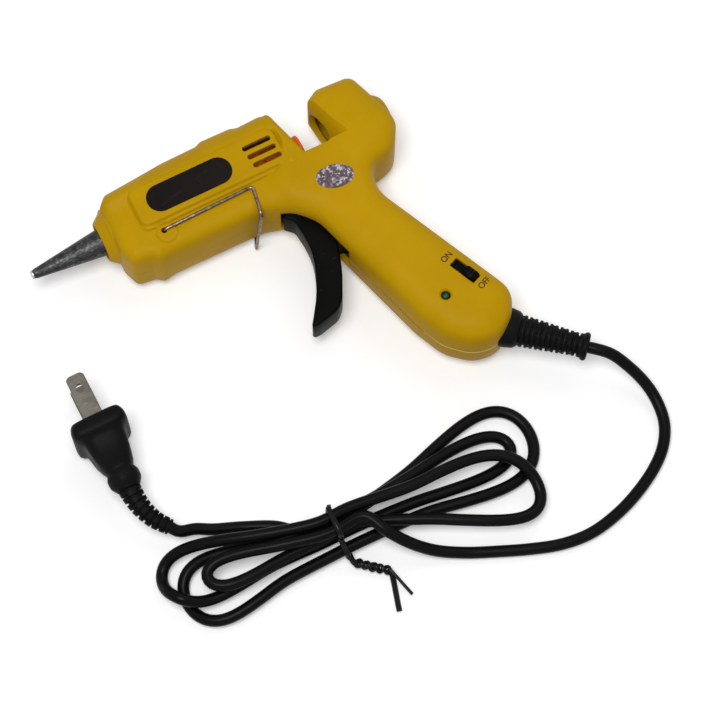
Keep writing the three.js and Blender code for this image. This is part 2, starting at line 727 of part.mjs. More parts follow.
function casingHalf(side) {
  const seam = SEAM_GAP / 2;
  const outer = halfBody(side, 0, seam);
  const cavity = halfBody(side, WALL, -OVERRUN);
  const band = (z0, z1) => [Math.min(side * z0, side * z1), Math.max(side * z0, side * z1)];
  const panel = loft([
    { list: panelCorners, z: side * (barrelHalf - WALL / 2) },
    { list: panelCorners, z: side * (half - PANEL_CHAMFER) },
    { list: inset(panelCorners, PANEL_CHAMFER), z: side * half },
  ]);
  let shell = join(cut(outer, cavity), panel);

  // Front collar and rear entry collar, each half of a turned ring
  const halfSpace = block(
    -BODY_LENGTH,
    2 * BODY_LENGTH,
    -BODY_HEIGHT,
    2 * BODY_HEIGHT,
    ...band(seam, BODY_THICKNESS),
  );
  const backX = BODY_OUTLINE_SHARES[16][0] * BODY_LENGTH;
  const collar = turned(
    [
      [collarFace, COLLAR_BORE_RADIUS],
      [collarFace, COLLAR_TIP_RADIUS],
      [collarFace / 2, (COLLAR_TIP_RADIUS + COLLAR_BASE_RADIUS) / 2 + PANEL_CHAMFER],
      [PANEL_CHAMFER, COLLAR_BASE_RADIUS],
      [WALL, COLLAR_BASE_RADIUS],
      [WALL, COLLAR_BORE_RADIUS],
      [collarFace, COLLAR_BORE_RADIUS],
    ],
    [0, axisY],
  );
  const entry = sleeveAlongX(
    backX - 2 * WALL,
    backX + ENTRY_COLLAR_REACH,
    ENTRY_COLLAR_RADIUS,
    ENTRY_BORE_RADIUS,
  );
  shell = join(shell, collar.intersect(halfSpace), entry.intersect(halfSpace));

  // Ribs, posts and bosses inside, kept within the outer form
  const inside = [];
  CHAMBER_RIB_SHARES.forEach((share) => {
    const x = share * BODY_LENGTH;
    const low = axisY - HEATER_BLOCK_DEPTH;
    const rib = block(x, x + RIB, low, BODY_HEIGHT, ...band(seam, half));
    inside.push(cut(rib, sleeveAlongX(x - OVERRUN, x + RIB + OVERRUN, CHAMBER_RADIUS + FIT_GAP, 0)));
  });
  const pivot = at(TRIGGER_PIVOT_SHARES);
  const bossFoot = TRIGGER_THICKNESS / 2 + RUN_GAP;
  inside.push(rod(CASING_BOSS_RADIUS, pivot, ...band(bossFoot, half - WALL / 2)));
  const standPivot = at(STAND_PIVOT_SHARES);
  const standFoot = barrelHalf - STAND_PIN_LENGTH;
  inside.push(rod(STAND_BOSS_RADIUS, standPivot, ...band(standFoot, barrelHalf - WALL / 2)));
  SCREW_SHARES.forEach((share) => {
    inside.push(rod(POST_RADIUS, at(share), ...band(seam, half - WALL / 2)));
  });
  const springY = SPRING_SHARES[1] * BODY_HEIGHT;
  const springX = SPRING_SHARES[0] * BODY_LENGTH;
  inside.push(
    block(
      springX - RIB,
      springX,
      springY - SPRING_RADIUS - RIB,
      springY + SPRING_RADIUS + RIB,
      ...band(seam, half - WALL / 2),
    ),
  );
  const railTop = linkPin[1] + YOKE_HEAD - RUN_GAP;
  inside.push(
    block(
      CARRIAGE_RAIL_SHARES[0] * BODY_LENGTH,
      CARRIAGE_RAIL_SHARES[1] * BODY_LENGTH,
      railTop - RIB,
      railTop,
      ...band(YOKE_WIDTH / 4, half - WALL / 2),
    ),
  );
  const kept = join(...inside).intersect(outer);
  shell = join(shell, kept);

  // Openings through both halves
  const slotDepth = TRIGGER_THICKNESS / 2 + RUN_GAP;
  const sleeveEnd = SLEEVE_SHARES[1] * BODY_LENGTH;
  const ringFront = BODY_OUTLINE_SHARES[21][0] * BODY_LENGTH;
  shell = cut(
    shell,
    sleeveAlongX(collarFace - OVERRUN, 2 * WALL, COLLAR_BORE_RADIUS, 0),
    sleeveAlongX(
      sleeveEnd - SLEEVE_SHOULDER_LENGTH,
      sleeveEnd + OVERRUN,
      STICK_BORE_RADIUS + SLEEVE_WALL + 2 * FIT_GAP,
      0,
    ),
    sleeveAlongX(ringFront - OVERRUN, ringFront + 2 * WALL, ENTRY_BORE_RADIUS + FIT_GAP, 0),
    turned(
      [
        [ringFront - OVERRUN, 0],
        [ringFront - OVERRUN, RING_MOUTH_RADIUS + OVERRUN],
        [ringFront + WALL, ENTRY_BORE_RADIUS],
        [ringFront + WALL, 0],
      ],
      [0, axisY],
    ),
    sleeveAlongX(backX - 3 * WALL, backX + ENTRY_COLLAR_REACH + OVERRUN, ENTRY_BORE_RADIUS, 0),
    plate(corners(TRIGGER_SLOT_SHARES), -slotDepth, slotDepth),
    rod(STAND_WIRE_RADIUS + FIT_GAP, standPivot, ...band(standFoot - OVERRUN, half)),
    rod(TRIGGER_PIN_RADIUS + FIT_GAP, pivot, ...band(0, half - WALL)),
    turned(
      [
        [-3 * WALL, 0],
        [-3 * WALL, RELIEF_NECK_RADIUS + FIT_GAP],
        [WALL, RELIEF_NECK_RADIUS + FIT_GAP],
        [WALL, 0],
      ],
      at(RELIEF_SHARES),
      RELIEF_TURN,
    ),
  );
  VENT_SHARES.forEach((share) => {
    const [x, y] = at(share);
    const reach = VENT_LENGTH / 2;
    const vent = corners(
      [
        [x - reach, y - VENT_WIDTH / 2, VENT_WIDTH / 2],
        [x + reach, y - VENT_WIDTH / 2, VENT_WIDTH / 2],
        [x + reach, y + VENT_WIDTH / 2, VENT_WIDTH / 2],
        [x - reach, y + VENT_WIDTH / 2, VENT_WIDTH / 2],
      ],
      1,
      1,
    );
    shell = cut(shell, plate(vent, ...band(barrelHalf - 2 * WALL, half + OVERRUN)));
  });
  SCREW_SHARES.forEach((share) => {
    const place = at(share);
    const hole = SCREW_SHANK_RADIUS + FIT_GAP;
    if (side > 0) {
      shell = cut(shell, rod(hole, place, 0, SCREW_GRIP + FIT_GAP));
      return;
    }
    const seat = SCREW_SINK + SCREW_HEAD_HEIGHT + FIT_GAP - half;
    shell = cut(
      shell,
      rod(hole, place, -half, 0),
      rod(SCREW_HEAD_RADIUS + FIT_GAP, place, -half - OVERRUN, seat),
    );
  });
  return shell;
}

const linkPin = at(LINK_PIN_SHARES);
const ledPlace = at(LED_SHARES);
const switchPlace = at(SWITCH_SHARES);

// A rectangle turned to the switch's direction
function alongSwitch(length, width, shift = 0) {
  const centre = new THREE.Vector2(...switchPlace);
  return [
    [-length / 2, -width / 2],
    [length / 2, -width / 2],
    [length / 2, width / 2],
    [-length / 2, width / 2],
  ].map(([along, across]) => {
    const point = new THREE.Vector2(along + shift, across);
    point.rotateAround(new THREE.Vector2(), SWITCH_TURN).add(centre);
    return { x: point.x, y: point.y, r: 0, steps: 0 };
  });
}

const switchTop = half - WALL - FIT_GAP - KNOB_BASE_THICKNESS - FIT_GAP;
const boardTop = half - WALL - BOARD_DEPTH;
const boardCentre = [ledPlace[0] - BOARD_WIDTH / 4, ledPlace[1] + BOARD_LENGTH / 4];
const holderLength = SWITCH_BODY_LENGTH + 2 * FIT_GAP;
const switchHold = switchTop - SWITCH_BODY_HEIGHT;
const holders = cut(
  plate(alongSwitch(holderLength + 2 * RIB, SWITCH_BODY_WIDTH), switchHold, half - WALL / 2),
  plate(alongSwitch(holderLength, SWITCH_BODY_WIDTH + OVERRUN), switchHold - OVERRUN, half),
);
const pegs = [-1, 1].map((side) =>
  rod(
    RIB,
    [boardCentre[0] + (side * BOARD_WIDTH) / 4, boardCentre[1] + BOARD_LENGTH / 4],
    boardTop + FIT_GAP,
    half - WALL / 2,
  ),
);
const leftCasing = cut(
  join(casingHalf(1), holders, ...pegs),
  plate(alongSwitch(SWITCH_WINDOW_LENGTH, SWITCH_WINDOW_WIDTH), half - 2 * WALL, half + OVERRUN),
  rod(LED_RADIUS + FIT_GAP, ledPlace, half - 2 * WALL, half + OVERRUN),
);
add(gun, "left_casing", leftCasing, yellowPlastic);
add(gun, "right_casing", casingHalf(-1), yellowPlastic);

// Screws, driven from the right side
SCREW_SHARES.forEach((share, i) => {
  const place = at(share);
  const headFace = SCREW_SINK - half;
  const screw = join(
    rod(SCREW_HEAD_RADIUS, place, headFace, headFace + SCREW_HEAD_HEIGHT),
    rod(SCREW_SHANK_RADIUS, place, headFace, SCREW_GRIP, WIRE_SIDES),
  );
  add(gun, `casing_screw_${i + 1}`, screw, brightSteel);
});

// Nozzle: a cast cone on a flange, its shank in the chamber's mouth
const [chamberFront, chamberBack] = CHAMBER_SHARES.map((share) => share * BODY_LENGTH);
const flangeBack = chamberFront - FIT_GAP;
const nozzleTip = collarFace - NOZZLE_REACH;
const shankBack = flangeBack + NOZZLE_SHANK_LENGTH;
add(
  gun,
  "nozzle",
  turned(
    [
      [nozzleTip, NOZZLE_ORIFICE_RADIUS],
      [nozzleTip, NOZZLE_TIP_RADIUS],
      [collarFace, NOZZLE_BASE_RADIUS],
      [flangeBack - NOZZLE_FLANGE, NOZZLE_BASE_RADIUS],
      [flangeBack - NOZZLE_FLANGE, NOZZLE_BASE_RADIUS + 2 * FIT_GAP],
      [flangeBack, NOZZLE_BASE_RADIUS + 2 * FIT_GAP],
      [flangeBack, NOZZLE_SHANK_RADIUS],
      [shankBack, NOZZLE_SHANK_RADIUS],
      [shankBack, NOZZLE_SHANK_RADIUS / 2],
      [collarFace, NOZZLE_SHANK_RADIUS / 2],
      [nozzleTip + NOZZLE_FLANGE, NOZZLE_ORIFICE_RADIUS],
      [nozzleTip, NOZZLE_ORIFICE_RADIUS],
    ],
    [0, axisY],
  ),
  greyCasting,
);

// Melt chamber with its heater block underneath
const mouthBack = shankBack + FIT_GAP;
const tailFront = chamberBack - CHAMBER_TAIL_LENGTH;
const [blockFront, blockBack] = BLOCK_SHARES.map((share) => share * BODY_LENGTH);
const heaterY = axisY - HEATER_DROP;
const pocket = HEATER_THICKNESS / 2 + FIT_GAP;
const chamber = cut(
  join(
    turned(
      [
        [chamberFront, NOZZLE_SHANK_RADIUS + FIT_GAP],
        [chamberFront, CHAMBER_RADIUS],
        [tailFront, CHAMBER_RADIUS],
        [tailFront, CHAMBER_TAIL_RADIUS],
        [chamberBack, CHAMBER_TAIL_RADIUS],
        [chamberBack, STICK_BORE_RADIUS],
        [mouthBack, STICK_BORE_RADIUS],
        [mouthBack, NOZZLE_SHANK_RADIUS + FIT_GAP],
        [chamberFront, NOZZLE_SHANK_RADIUS + FIT_GAP],
      ],
      [0, axisY],
    ),
    cut(
      block(
        blockFront,
        blockBack,
        axisY - HEATER_BLOCK_DEPTH,
        axisY,
        -HEATER_BLOCK_WIDTH / 2,
        HEATER_BLOCK_WIDTH / 2,
      ),
      sleeveAlongX(blockFront - OVERRUN, blockBack + OVERRUN, (STICK_BORE_RADIUS + CHAMBER_RADIUS) / 2, 0),
    ),
  ),
  block(
    blockFront - OVERRUN,
    blockBack + OVERRUN,
    heaterY - pocket,
    heaterY + pocket,
    -HEATER_WIDTH / 2 - FIT_GAP,
    HEATER_WIDTH / 2 + FIT_GAP,
  ),
);
add(gun, "melt_chamber", chamber, greyCasting);

const heaterX = blockFront + FIT_GAP;
add(
  gun,
  "heater_plate",
  block(
    heaterX,
    heaterX + HEATER_LENGTH,
    heaterY - HEATER_THICKNESS / 2,
    heaterY + HEATER_THICKNESS / 2,
    -HEATER_WIDTH / 2,
    HEATER_WIDTH / 2,
  ),
  brownCeramic,
);

// Spring clip bent round the block
const clipX = CLIP_SHARE * BODY_LENGTH - CLIP_LENGTH / 2;
const clipInner = HEATER_BLOCK_WIDTH / 2 + FIT_GAP;
const clipOuter = clipInner + CLIP_THICKNESS;
const clipFloor = axisY - HEATER_BLOCK_DEPTH - FIT_GAP;
const clipTop = heaterY + HEATER_THICKNESS;
add(
  gun,
  "heater_clip",
  cut(
    block(clipX, clipX + CLIP_LENGTH, clipFloor - CLIP_THICKNESS, clipTop, -clipOuter, clipOuter),
    block(clipX - OVERRUN, clipX + CLIP_LENGTH + OVERRUN, clipFloor, clipTop + OVERRUN, -clipInner, clipInner),
  ),
  brightSteel,
);

// Feed sleeve over the chamber's tail, and the clamp on it
const [sleeveFront, sleeveBack] = SLEEVE_SHARES.map((share) => share * BODY_LENGTH);
const socket = CHAMBER_TAIL_RADIUS + FIT_GAP;
const sleeveX = Math.max(sleeveFront, tailFront + FIT_GAP);
const socketBack = chamberBack + FIT_GAP;
const shoulderBack = sleeveX + SLEEVE_SHOULDER_LENGTH;
const feedBore = STICK_BORE_RADIUS + FIT_GAP;
add(
  gun,
  "feed_sleeve",
  turned(
    [
      [sleeveX, socket],
      [sleeveX, socket + SLEEVE_WALL],
      [shoulderBack, socket + SLEEVE_WALL],
      [shoulderBack + SLEEVE_WALL, feedBore + SLEEVE_WALL],
      [sleeveBack, feedBore + SLEEVE_WALL],
      [sleeveBack, feedBore],
      [socketBack + SLEEVE_WALL, feedBore],
      [socketBack, socket],
      [sleeveX, socket],
    ],
    [0, axisY],
  ),
  orangeSilicone,
);
const clampBore = socket + SLEEVE_WALL + FIT_GAP;
const clampX = sleeveX + SLEEVE_CLAMP_WIDTH;
add(
  gun,
  "sleeve_clamp",
  sleeveAlongX(clampX, clampX + SLEEVE_CLAMP_WIDTH, clampBore + CLIP_THICKNESS, clampBore),
  brightSteel,
);

// Trigger: a channel open at the back, a pivot boss, and an arm up to the link pin
const pivot = at(TRIGGER_PIVOT_SHARES);
const triggerHalf = TRIGGER_THICKNESS / 2;
const triggerCorners = corners(TRIGGER_OUTLINE_SHARES);
const channelHalf = triggerHalf - TRIGGER_WALL;
const channel = plate(corners(TRIGGER_CHANNEL_SHARES), -channelHalf, channelHalf);
const lug = plate(
  corners(
    [
      [...at(TRIGGER_LUG_SHARES[0])],
      [pivot[0], pivot[1] - TRIGGER_BOSS_RADIUS],
      [pivot[0], pivot[1] + TRIGGER_BOSS_RADIUS],
      [...at(TRIGGER_LUG_SHARES[1])],
    ],
    1,
    1,
  ),
  -triggerHalf,
  triggerHalf,
);
const armShape = (() => {
  const from = new THREE.Vector2(...pivot);
  const to = new THREE.Vector2(...linkPin);
  const side = to.clone().sub(from).normalize().rotateAround(new THREE.Vector2(), Math.PI / 2);
  side.multiplyScalar(ARM_WIDTH / 2);
  return [from.clone().sub(side), to.clone().sub(side), to.clone().add(side), from.clone().add(side)].map(
    (point) => ({ x: point.x, y: point.y, r: 0, steps: 0 }),
  );
})();
const trigger = cut(
  join(
    cut(plate(triggerCorners, -triggerHalf, triggerHalf), channel),
    lug,
    rod(TRIGGER_BOSS_RADIUS, pivot, -triggerHalf, triggerHalf),
    plate(armShape, -ARM_THICKNESS / 2, ARM_THICKNESS / 2),
    rod(ARM_WIDTH / 2, linkPin, -ARM_THICKNESS / 2, ARM_THICKNESS / 2),
    rod(LINK_PIN_RADIUS, linkPin, -YOKE_WIDTH / 2, YOKE_WIDTH / 2),
  ),
  rod(TRIGGER_PIN_RADIUS + FIT_GAP, pivot, -half, half),
);
add(gun, "trigger", trigger, blackPlastic);
const pinReach = half - WALL - FIT_GAP;
add(gun, "trigger_pin", rod(TRIGGER_PIN_RADIUS, pivot, -pinReach, pinReach), brightSteel);

// Feed carriage: a block round the stick, a plate under it and a yoke that the link pin moves
const plateLow = linkPin[1] + YOKE_HEAD;
const plateTop = plateLow + PLATE_THICKNESS;
const prongGap = LINK_PIN_RADIUS + RUN_GAP;
const yokeFront = linkPin[0] - prongGap - YOKE_PRONG;
const entryFace = BODY_OUTLINE_SHARES[16][0] * BODY_LENGTH - 2 * WALL;
const gripX = entryFace - GRIP_GAP - GRIP_THICKNESS;
const carriageBack = gripX - FIT_GAP;
const carriageX = carriageBack - CARRIAGE_LENGTH;
const yokeHalf = YOKE_WIDTH / 2;
const prongInner = ARM_THICKNESS / 2 + RUN_GAP;
const prongs = [-1, 1].flatMap((side) =>
  [yokeFront, linkPin[0] + prongGap].map((x) =>
    block(
      x,
      x + YOKE_PRONG,
      plateTop - YOKE_DROP - PLATE_THICKNESS,
      plateTop,
      side > 0 ? prongInner : -yokeHalf,
      side > 0 ? yokeHalf : -prongInner,
    ),
  ),
);
const springY = SPRING_SHARES[1] * BODY_HEIGHT;
const carriage = cut(
  join(
    block(yokeFront, carriageBack, plateLow, plateTop, -yokeHalf, yokeHalf),
    ...prongs,
    block(
      yokeFront,
      yokeFront + YOKE_PRONG,
      plateLow,
      springY + SPRING_RADIUS,
      -SPRING_RADIUS,
      SPRING_RADIUS,
    ),
    block(carriageX, carriageBack, plateLow, axisY, -yokeHalf, yokeHalf),
    block(
      carriageX,
      carriageBack,
      axisY - CARRIAGE_HEIGHT / 2,
      axisY + CARRIAGE_HEIGHT / 2,
      -CARRIAGE_WIDTH / 2,
      CARRIAGE_WIDTH / 2,
    ),
  ),
  sleeveAlongX(carriageX - OVERRUN, carriageBack + OVERRUN, feedBore, 0),
);
add(gun, "feed_carriage", carriage, blackPlastic);
const gripHalf = CARRIAGE_HEIGHT / 2 - 2 * GRIP_THICKNESS;
add(
  gun,
  "stick_gripper",
  cut(
    block(
      gripX,
      gripX + GRIP_THICKNESS,
      axisY - gripHalf,
      axisY + gripHalf,
      -gripHalf,
      gripHalf,
    ),
    sleeveAlongX(gripX - OVERRUN, gripX + GRIP_THICKNESS + OVERRUN, STICK_BORE_RADIUS, 0),
  ),
  brightSteel,
);

// Return spring between the casing's rib and the carriage
const springStart = new THREE.Vector3(SPRING_SHARES[0] * BODY_LENGTH + FIT_GAP + SPRING_WIRE_RADIUS, springY, 0);
const springEnd = new THREE.Vector3(yokeFront - FIT_GAP - SPRING_WIRE_RADIUS, springY, 0);
const coil = helix(springStart, springEnd, SPRING_RADIUS - SPRING_WIRE_RADIUS, SPRING_TURNS, 8);
add(gun, "return_spring", solid(tube(coil, SPRING_WIRE_RADIUS, 5)), brightSteel);

// Wire stand: a closed bail whose ends turn in at the pivots
const standZ = barrelHalf + STAND_GAP + STAND_WIRE_RADIUS;
const standPivot = at(STAND_PIVOT_SHARES);
const standPinEnd = barrelHalf - STAND_PIN_LENGTH + FIT_GAP;
const standPath = bentPath(
  [
    [...standPivot, standPinEnd],
    [...standPivot, standZ],
    [...at(STAND_ELBOW_SHARES), standZ],
    [...at(STAND_NEAR_SHARES), standZ],
    [...at(STAND_FAR_SHARES), -standZ],
    [...at(STAND_ELBOW_SHARES), -standZ],
    [...standPivot, -standZ],
    [...standPivot, -standPinEnd],
  ],
  STAND_BEND_RADIUS,
);
const stand = solid(tube(standPath, STAND_WIRE_RADIUS, CORD_SIDES));
add(gun, "stand_wire", stand, brightSteel);

// Slide switch under its window, its knob at the lower end, and the lamp on its board
add(
  gun,
  "switch_body",
  plate(alongSwitch(SWITCH_BODY_LENGTH, SWITCH_BODY_WIDTH), switchHold, switchTop),
  blackPlastic,
);
const knobLength = SWITCH_WINDOW_LENGTH - SWITCH_TRAVEL - 2 * RUN_GAP;
const knobShift = -SWITCH_TRAVEL / 2;
const knobLow = switchTop + FIT_GAP;
add(
  gun,
  "switch_knob",
  join(
    plate(alongSwitch(KNOB_BASE_LENGTH, SWITCH_BODY_WIDTH - RUN_GAP, knobShift), knobLow, knobLow + KNOB_BASE_THICKNESS),
    plate(alongSwitch(knobLength, SWITCH_WINDOW_WIDTH - 2 * RUN_GAP, knobShift), knobLow, half + KNOB_PROUD),
  ),
  blackPlastic,
);
add(
  gun,
  "circuit_board",
  block(
    boardCentre[0] - BOARD_WIDTH / 2,
    boardCentre[0] + BOARD_WIDTH / 2,
    boardCentre[1] - BOARD_LENGTH / 2,
    boardCentre[1] + BOARD_LENGTH / 2,
    boardTop - BOARD_THICKNESS,
    boardTop,
  ),
  greenBoard,
);
const ledBase = boardTop + FIT_GAP;
const domeBase = half + LED_PROUD - LED_RADIUS;
const lamp = new THREE.LatheGeometry(
  [
    new THREE.Vector2(0, ledBase),
    new THREE.Vector2(LED_RADIUS + LED_RIM, ledBase),
    new THREE.Vector2(LED_RADIUS + LED_RIM, ledBase + 2 * LED_RIM),
    new THREE.Vector2(LED_RADIUS, ledBase + 2 * LED_RIM),
    new THREE.Vector2(LED_RADIUS, domeBase),
    new THREE.Vector2(LED_RADIUS * Math.SQRT1_2, domeBase + LED_RADIUS * Math.SQRT1_2),
    new THREE.Vector2(0, domeBase + LED_RADIUS),
  ],
  SMALL_SIDES,
);
lamp.rotateX(Math.PI / 2);
lamp.translate(...ledPlace, 0);
add(gun, "led_lamp", solid(lamp), greenLens);

// Label in the panel and sticker behind the barrel, both bare
function pill(length, width, [x, y]) {
  const end = width / 2;
  return corners(
    [
      [x - length / 2, y - width / 2, end],
      [x + length / 2, y - width / 2, end],
      [x + length / 2, y + width / 2, end],
      [x - length / 2, y + width / 2, end],
    ],
    1,
    1,
  );
}
const filmLow = half + FIT_GAP;
add(
  gun,
  "name_label",
  plate(pill(LABEL_LENGTH, LABEL_WIDTH, at(LABEL_SHARES)), filmLow, filmLow + STICKER_THICKNESS),
  labelFilm,
);
const ovalGeometry = new THREE.CylinderGeometry(1, 1, STICKER_THICKNESS, ROUND_SIDES);
ovalGeometry.rotateX(Math.PI / 2);
ovalGeometry.scale(STICKER_LENGTH / 2, STICKER_WIDTH / 2, 1);
ovalGeometry.translate(...at(STICKER_SHARES), filmLow + STICKER_THICKNESS / 2);
add(gun, "check_sticker", solid(ovalGeometry), silverFilm);

// Strain relief: a flange fitted to the butt, a neck through its wall, ribs and a collar
const reliefPlace = at(RELIEF_SHARES);
const ribStart = RELIEF_FLANGE_LENGTH;
const collarStart = RELIEF_LENGTH - RELIEF_COLLAR_LENGTH;
const ribPitch = (collarStart - ribStart) / RELIEF_RIBS;
const ribProfile = Array.from({ length: RELIEF_RIBS }, (_, i) => {
  const x = ribStart + i * ribPitch;
  const radius = THREE.MathUtils.lerp(RELIEF_BODY_RADIUS, RELIEF_TIP_RADIUS, i / RELIEF_RIBS);
  return [
    [x, radius - RELIEF_GROOVE],
    [x + ribPitch / 4, radius],
    [x + (3 * ribPitch) / 4, radius],
  ];
}).flat();
const reliefOutside = cut(
  turned(
    [
      [-WALL, 0],
      [-WALL, RELIEF_FLANGE_RADIUS],
      [ribStart - RIB, RELIEF_FLANGE_RADIUS - RELIEF_GROOVE],
      [ribStart, RELIEF_BODY_RADIUS - RELIEF_GROOVE],
      ...ribProfile.slice(1),
      [collarStart, RELIEF_TIP_RADIUS - RELIEF_GROOVE],
      [collarStart, RELIEF_COLLAR_RADIUS],
      [RELIEF_LENGTH, RELIEF_COLLAR_RADIUS],
      [RELIEF_LENGTH, 0],
    ],
    reliefPlace,
    RELIEF_TURN,
    SMALL_SIDES,
  ),
  halfBody(1, -FIT_GAP, -OVERRUN),
  halfBody(-1, -FIT_GAP, -OVERRUN),
);
const lockFace = -RELIEF_LOCK_DEPTH;
const reliefInside = turned(
  [
    [lockFace - RELIEF_LOCK_LENGTH, 0],
    [lockFace - RELIEF_LOCK_LENGTH, RELIEF_LOCK_RADIUS],
    [lockFace, RELIEF_LOCK_RADIUS],
    [lockFace, RELIEF_NECK_RADIUS],
    [ribStart, RELIEF_NECK_RADIUS],
    [ribStart, 0],
  ],
  reliefPlace,
  RELIEF_TURN,
  SMALL_SIDES,
);
add(gun, "strain_relief", join(reliefOutside, reliefInside), blackRubber);

// Inner leads: from the relief to the switch, and from the switch and the board to the heater
const reliefAxis = new THREE.Vector2(Math.cos(RELIEF_TURN), Math.sin(RELIEF_TURN));
function onRelief(along, z = 0) {
  return [reliefPlace[0] + along * reliefAxis.x, reliefPlace[1] + along * reliefAxis.y, z];
}
const lockBack = lockFace - RELIEF_LOCK_LENGTH - CORD_END_GAP;
const wireZ = LEAD_WIRE_RADIUS + FIT_GAP;
const supplyWires = [-1, 1].map((side) => {
  const [x, y] = onRelief(lockBack);
  const far = side > 0 ? [switchPlace[0], switchPlace[1]] : [boardCentre[0], boardCentre[1]];
  const farZ = side > 0 ? switchHold - wireZ : boardTop - BOARD_THICKNESS - wireZ;
  return cordAlong(
    [
      [x, y, side * wireZ],
      onRelief(lockBack - 3 * LEAD_WIRE_RADIUS, side * wireZ),
      [(2 * x + far[0]) / 3 - LEAD_WIRE_RADIUS, (2 * y + far[1]) / 3, side * wireZ],
      [(x + 2 * far[0]) / 3, (y + 2 * far[1]) / 3, (side * wireZ + 2 * farZ) / 3],
      [far[0], far[1], farZ],
    ],
    LEAD_WIRE_RADIUS,
    4 * LEAD_WIRE_RADIUS,
    WIRE_SIDES,
  );
});
add(gun, "supply_wire_neutral", supplyWires[0], redInsulation);
add(gun, "supply_wire_live", supplyWires[1], blackRubber);

[-1, 1].forEach((side) => {
  const offset = side * HEATER_LEAD_SPREAD;
  const inner = (side * HEATER_WIDTH) / 4;
  const low = boardTop - BOARD_THICKNESS - wireZ;
  const blockEnd = [blockBack + RIB, heaterY - HEATER_THICKNESS];
  const boardEnd = boardCentre[1] + BOARD_LENGTH / 2;
  const startX = boardCentre[0] + (side * BOARD_WIDTH) / 4;
  const route = [
    [startX, boardEnd - 2 * LEAD_WIRE_RADIUS, low],
    [startX - LEAD_WIRE_RADIUS, boardEnd + 2 * LEAD_WIRE_RADIUS, low],
    ...HEATER_LEAD_SHARES.map((share, i) => [
      ...at(share),
      i === 0 ? (low + offset) / 2 : offset,
    ]),
    [...at(HEATER_LEAD_TURN_SHARES[0]), (2 * offset + inner) / 3],
    [...at(HEATER_LEAD_TURN_SHARES[1]), inner],
    [...blockEnd, inner],
    [heaterX + HEATER_LENGTH + FIT_GAP + LEAD_WIRE_RADIUS, heaterY, inner],
    [heaterX + HEATER_LENGTH + FIT_GAP, heaterY, inner],
  ];
  const wire = cordAlong(route, LEAD_WIRE_RADIUS, 5 * LEAD_WIRE_RADIUS, WIRE_SIDES);
  add(gun, side > 0 ? "heater_wire_live" : "heater_wire_neutral", wire, side > 0 ? redInsulation : blackRubber);
});

// Hank: seven runs through the tie and six lobes between them, one unbroken tube
const bundleFloor = CORD_RADIUS + 2 * TIE_WIRE_RADIUS + FIT_GAP + CORD_REST;
function slotPlace(i, end) {
  const [column, layer] = PASS_SLOTS[i];
  const heading = i % 2 === 0 ? 1 : -1;
  return new THREE.Vector3(
    TIE_PLACE[0] + (heading * end * PASS_LENGTH) / 2,
    TIE_PLACE[1] + column * STRAND_PITCH,
    bundleFloor + layer * STRAND_PITCH,
  );
}
function lobePoint(i, share) {
  const { far, half: reach, layer, crest } = LOBES[i];
  const [crestShare, spreadShare, crestHeight] = crest;
  const from = slotPlace(i, 1);
  const to = slotPlace(i + 1, -1);
  const side = i % 2 === 0 ? 1 : -1;
  const rise = Math.sin(Math.PI * share);
  const outward = rise ** LOBE_FULLNESS;
  const base = from.clone().lerp(to, share);
  const swing = reach * Math.sin(2 * Math.PI * share) * side;
  const low = CORD_RADIUS + CORD_REST + layer * STRAND_PITCH;
  const lift = crestHeight * Math.exp(-(((share - crestShare) / spreadShare) ** 2));
  return new THREE.Vector3(
    THREE.MathUtils.lerp(base.x, far[0], outward),
    THREE.MathUtils.lerp(base.y, far[1], outward) + swing,
    THREE.MathUtils.lerp(base.z, low, rise * rise) + lift,
  );
}
const hankPoints = [slotPlace(0, -1)];
for (let i = 0; i < LOBES.length; i += 1) {
  hankPoints.push(slotPlace(i, 1));
  for (let step = 1; step < LOBE_STEPS; step += 1) {
    hankPoints.push(lobePoint(i, step / LOBE_STEPS));
  }
  hankPoints.push(slotPlace(i + 1, -1));
}
hankPoints.push(slotPlace(LOBES.length, 1));

// Least gap of a tube to itself, between points at least a few diameters apart along it
function leastGap(points, radius) {
  const dense = [];
  points.slice(1).forEach((point, i) => {
    for (let k = 0; k < 6; k += 1) dense.push(points[i].clone().lerp(point, k / 6));
  });
  const travelled = [0];
  dense.slice(1).forEach((point, i) => travelled.push(travelled[i] + point.distanceTo(dense[i])));
  let least = { gap: Infinity };
  dense.forEach((point, i) => {
    for (let k = i + 1; k < dense.length; k += 1) {
      if (travelled[k] - travelled[i] < 10 * radius) continue;
      const gap = point.distanceTo(dense[k]) - 2 * radius;
      if (gap < least.gap) least = { gap, from: point, to: dense[k] };
    }
  });
  return { ...least, length: travelled.at(-1) };
}
const hankGap = leastGap(hankPoints, CORD_RADIUS);
const placeText = (point) => point.toArray().map((value) => value.toFixed(0)).join(" ");
console.log(
  `cord_hank: ${hankGap.length.toFixed(0)} mm, least gap to itself ${hankGap.gap.toFixed(2)} mm`,
  `at ${placeText(hankGap.from)} and ${placeText(hankGap.to)}`,
);
add(cordSet, "cord_hank", solid(tube(hankPoints, CORD_RADIUS, WIRE_SIDES)), cordRubber);

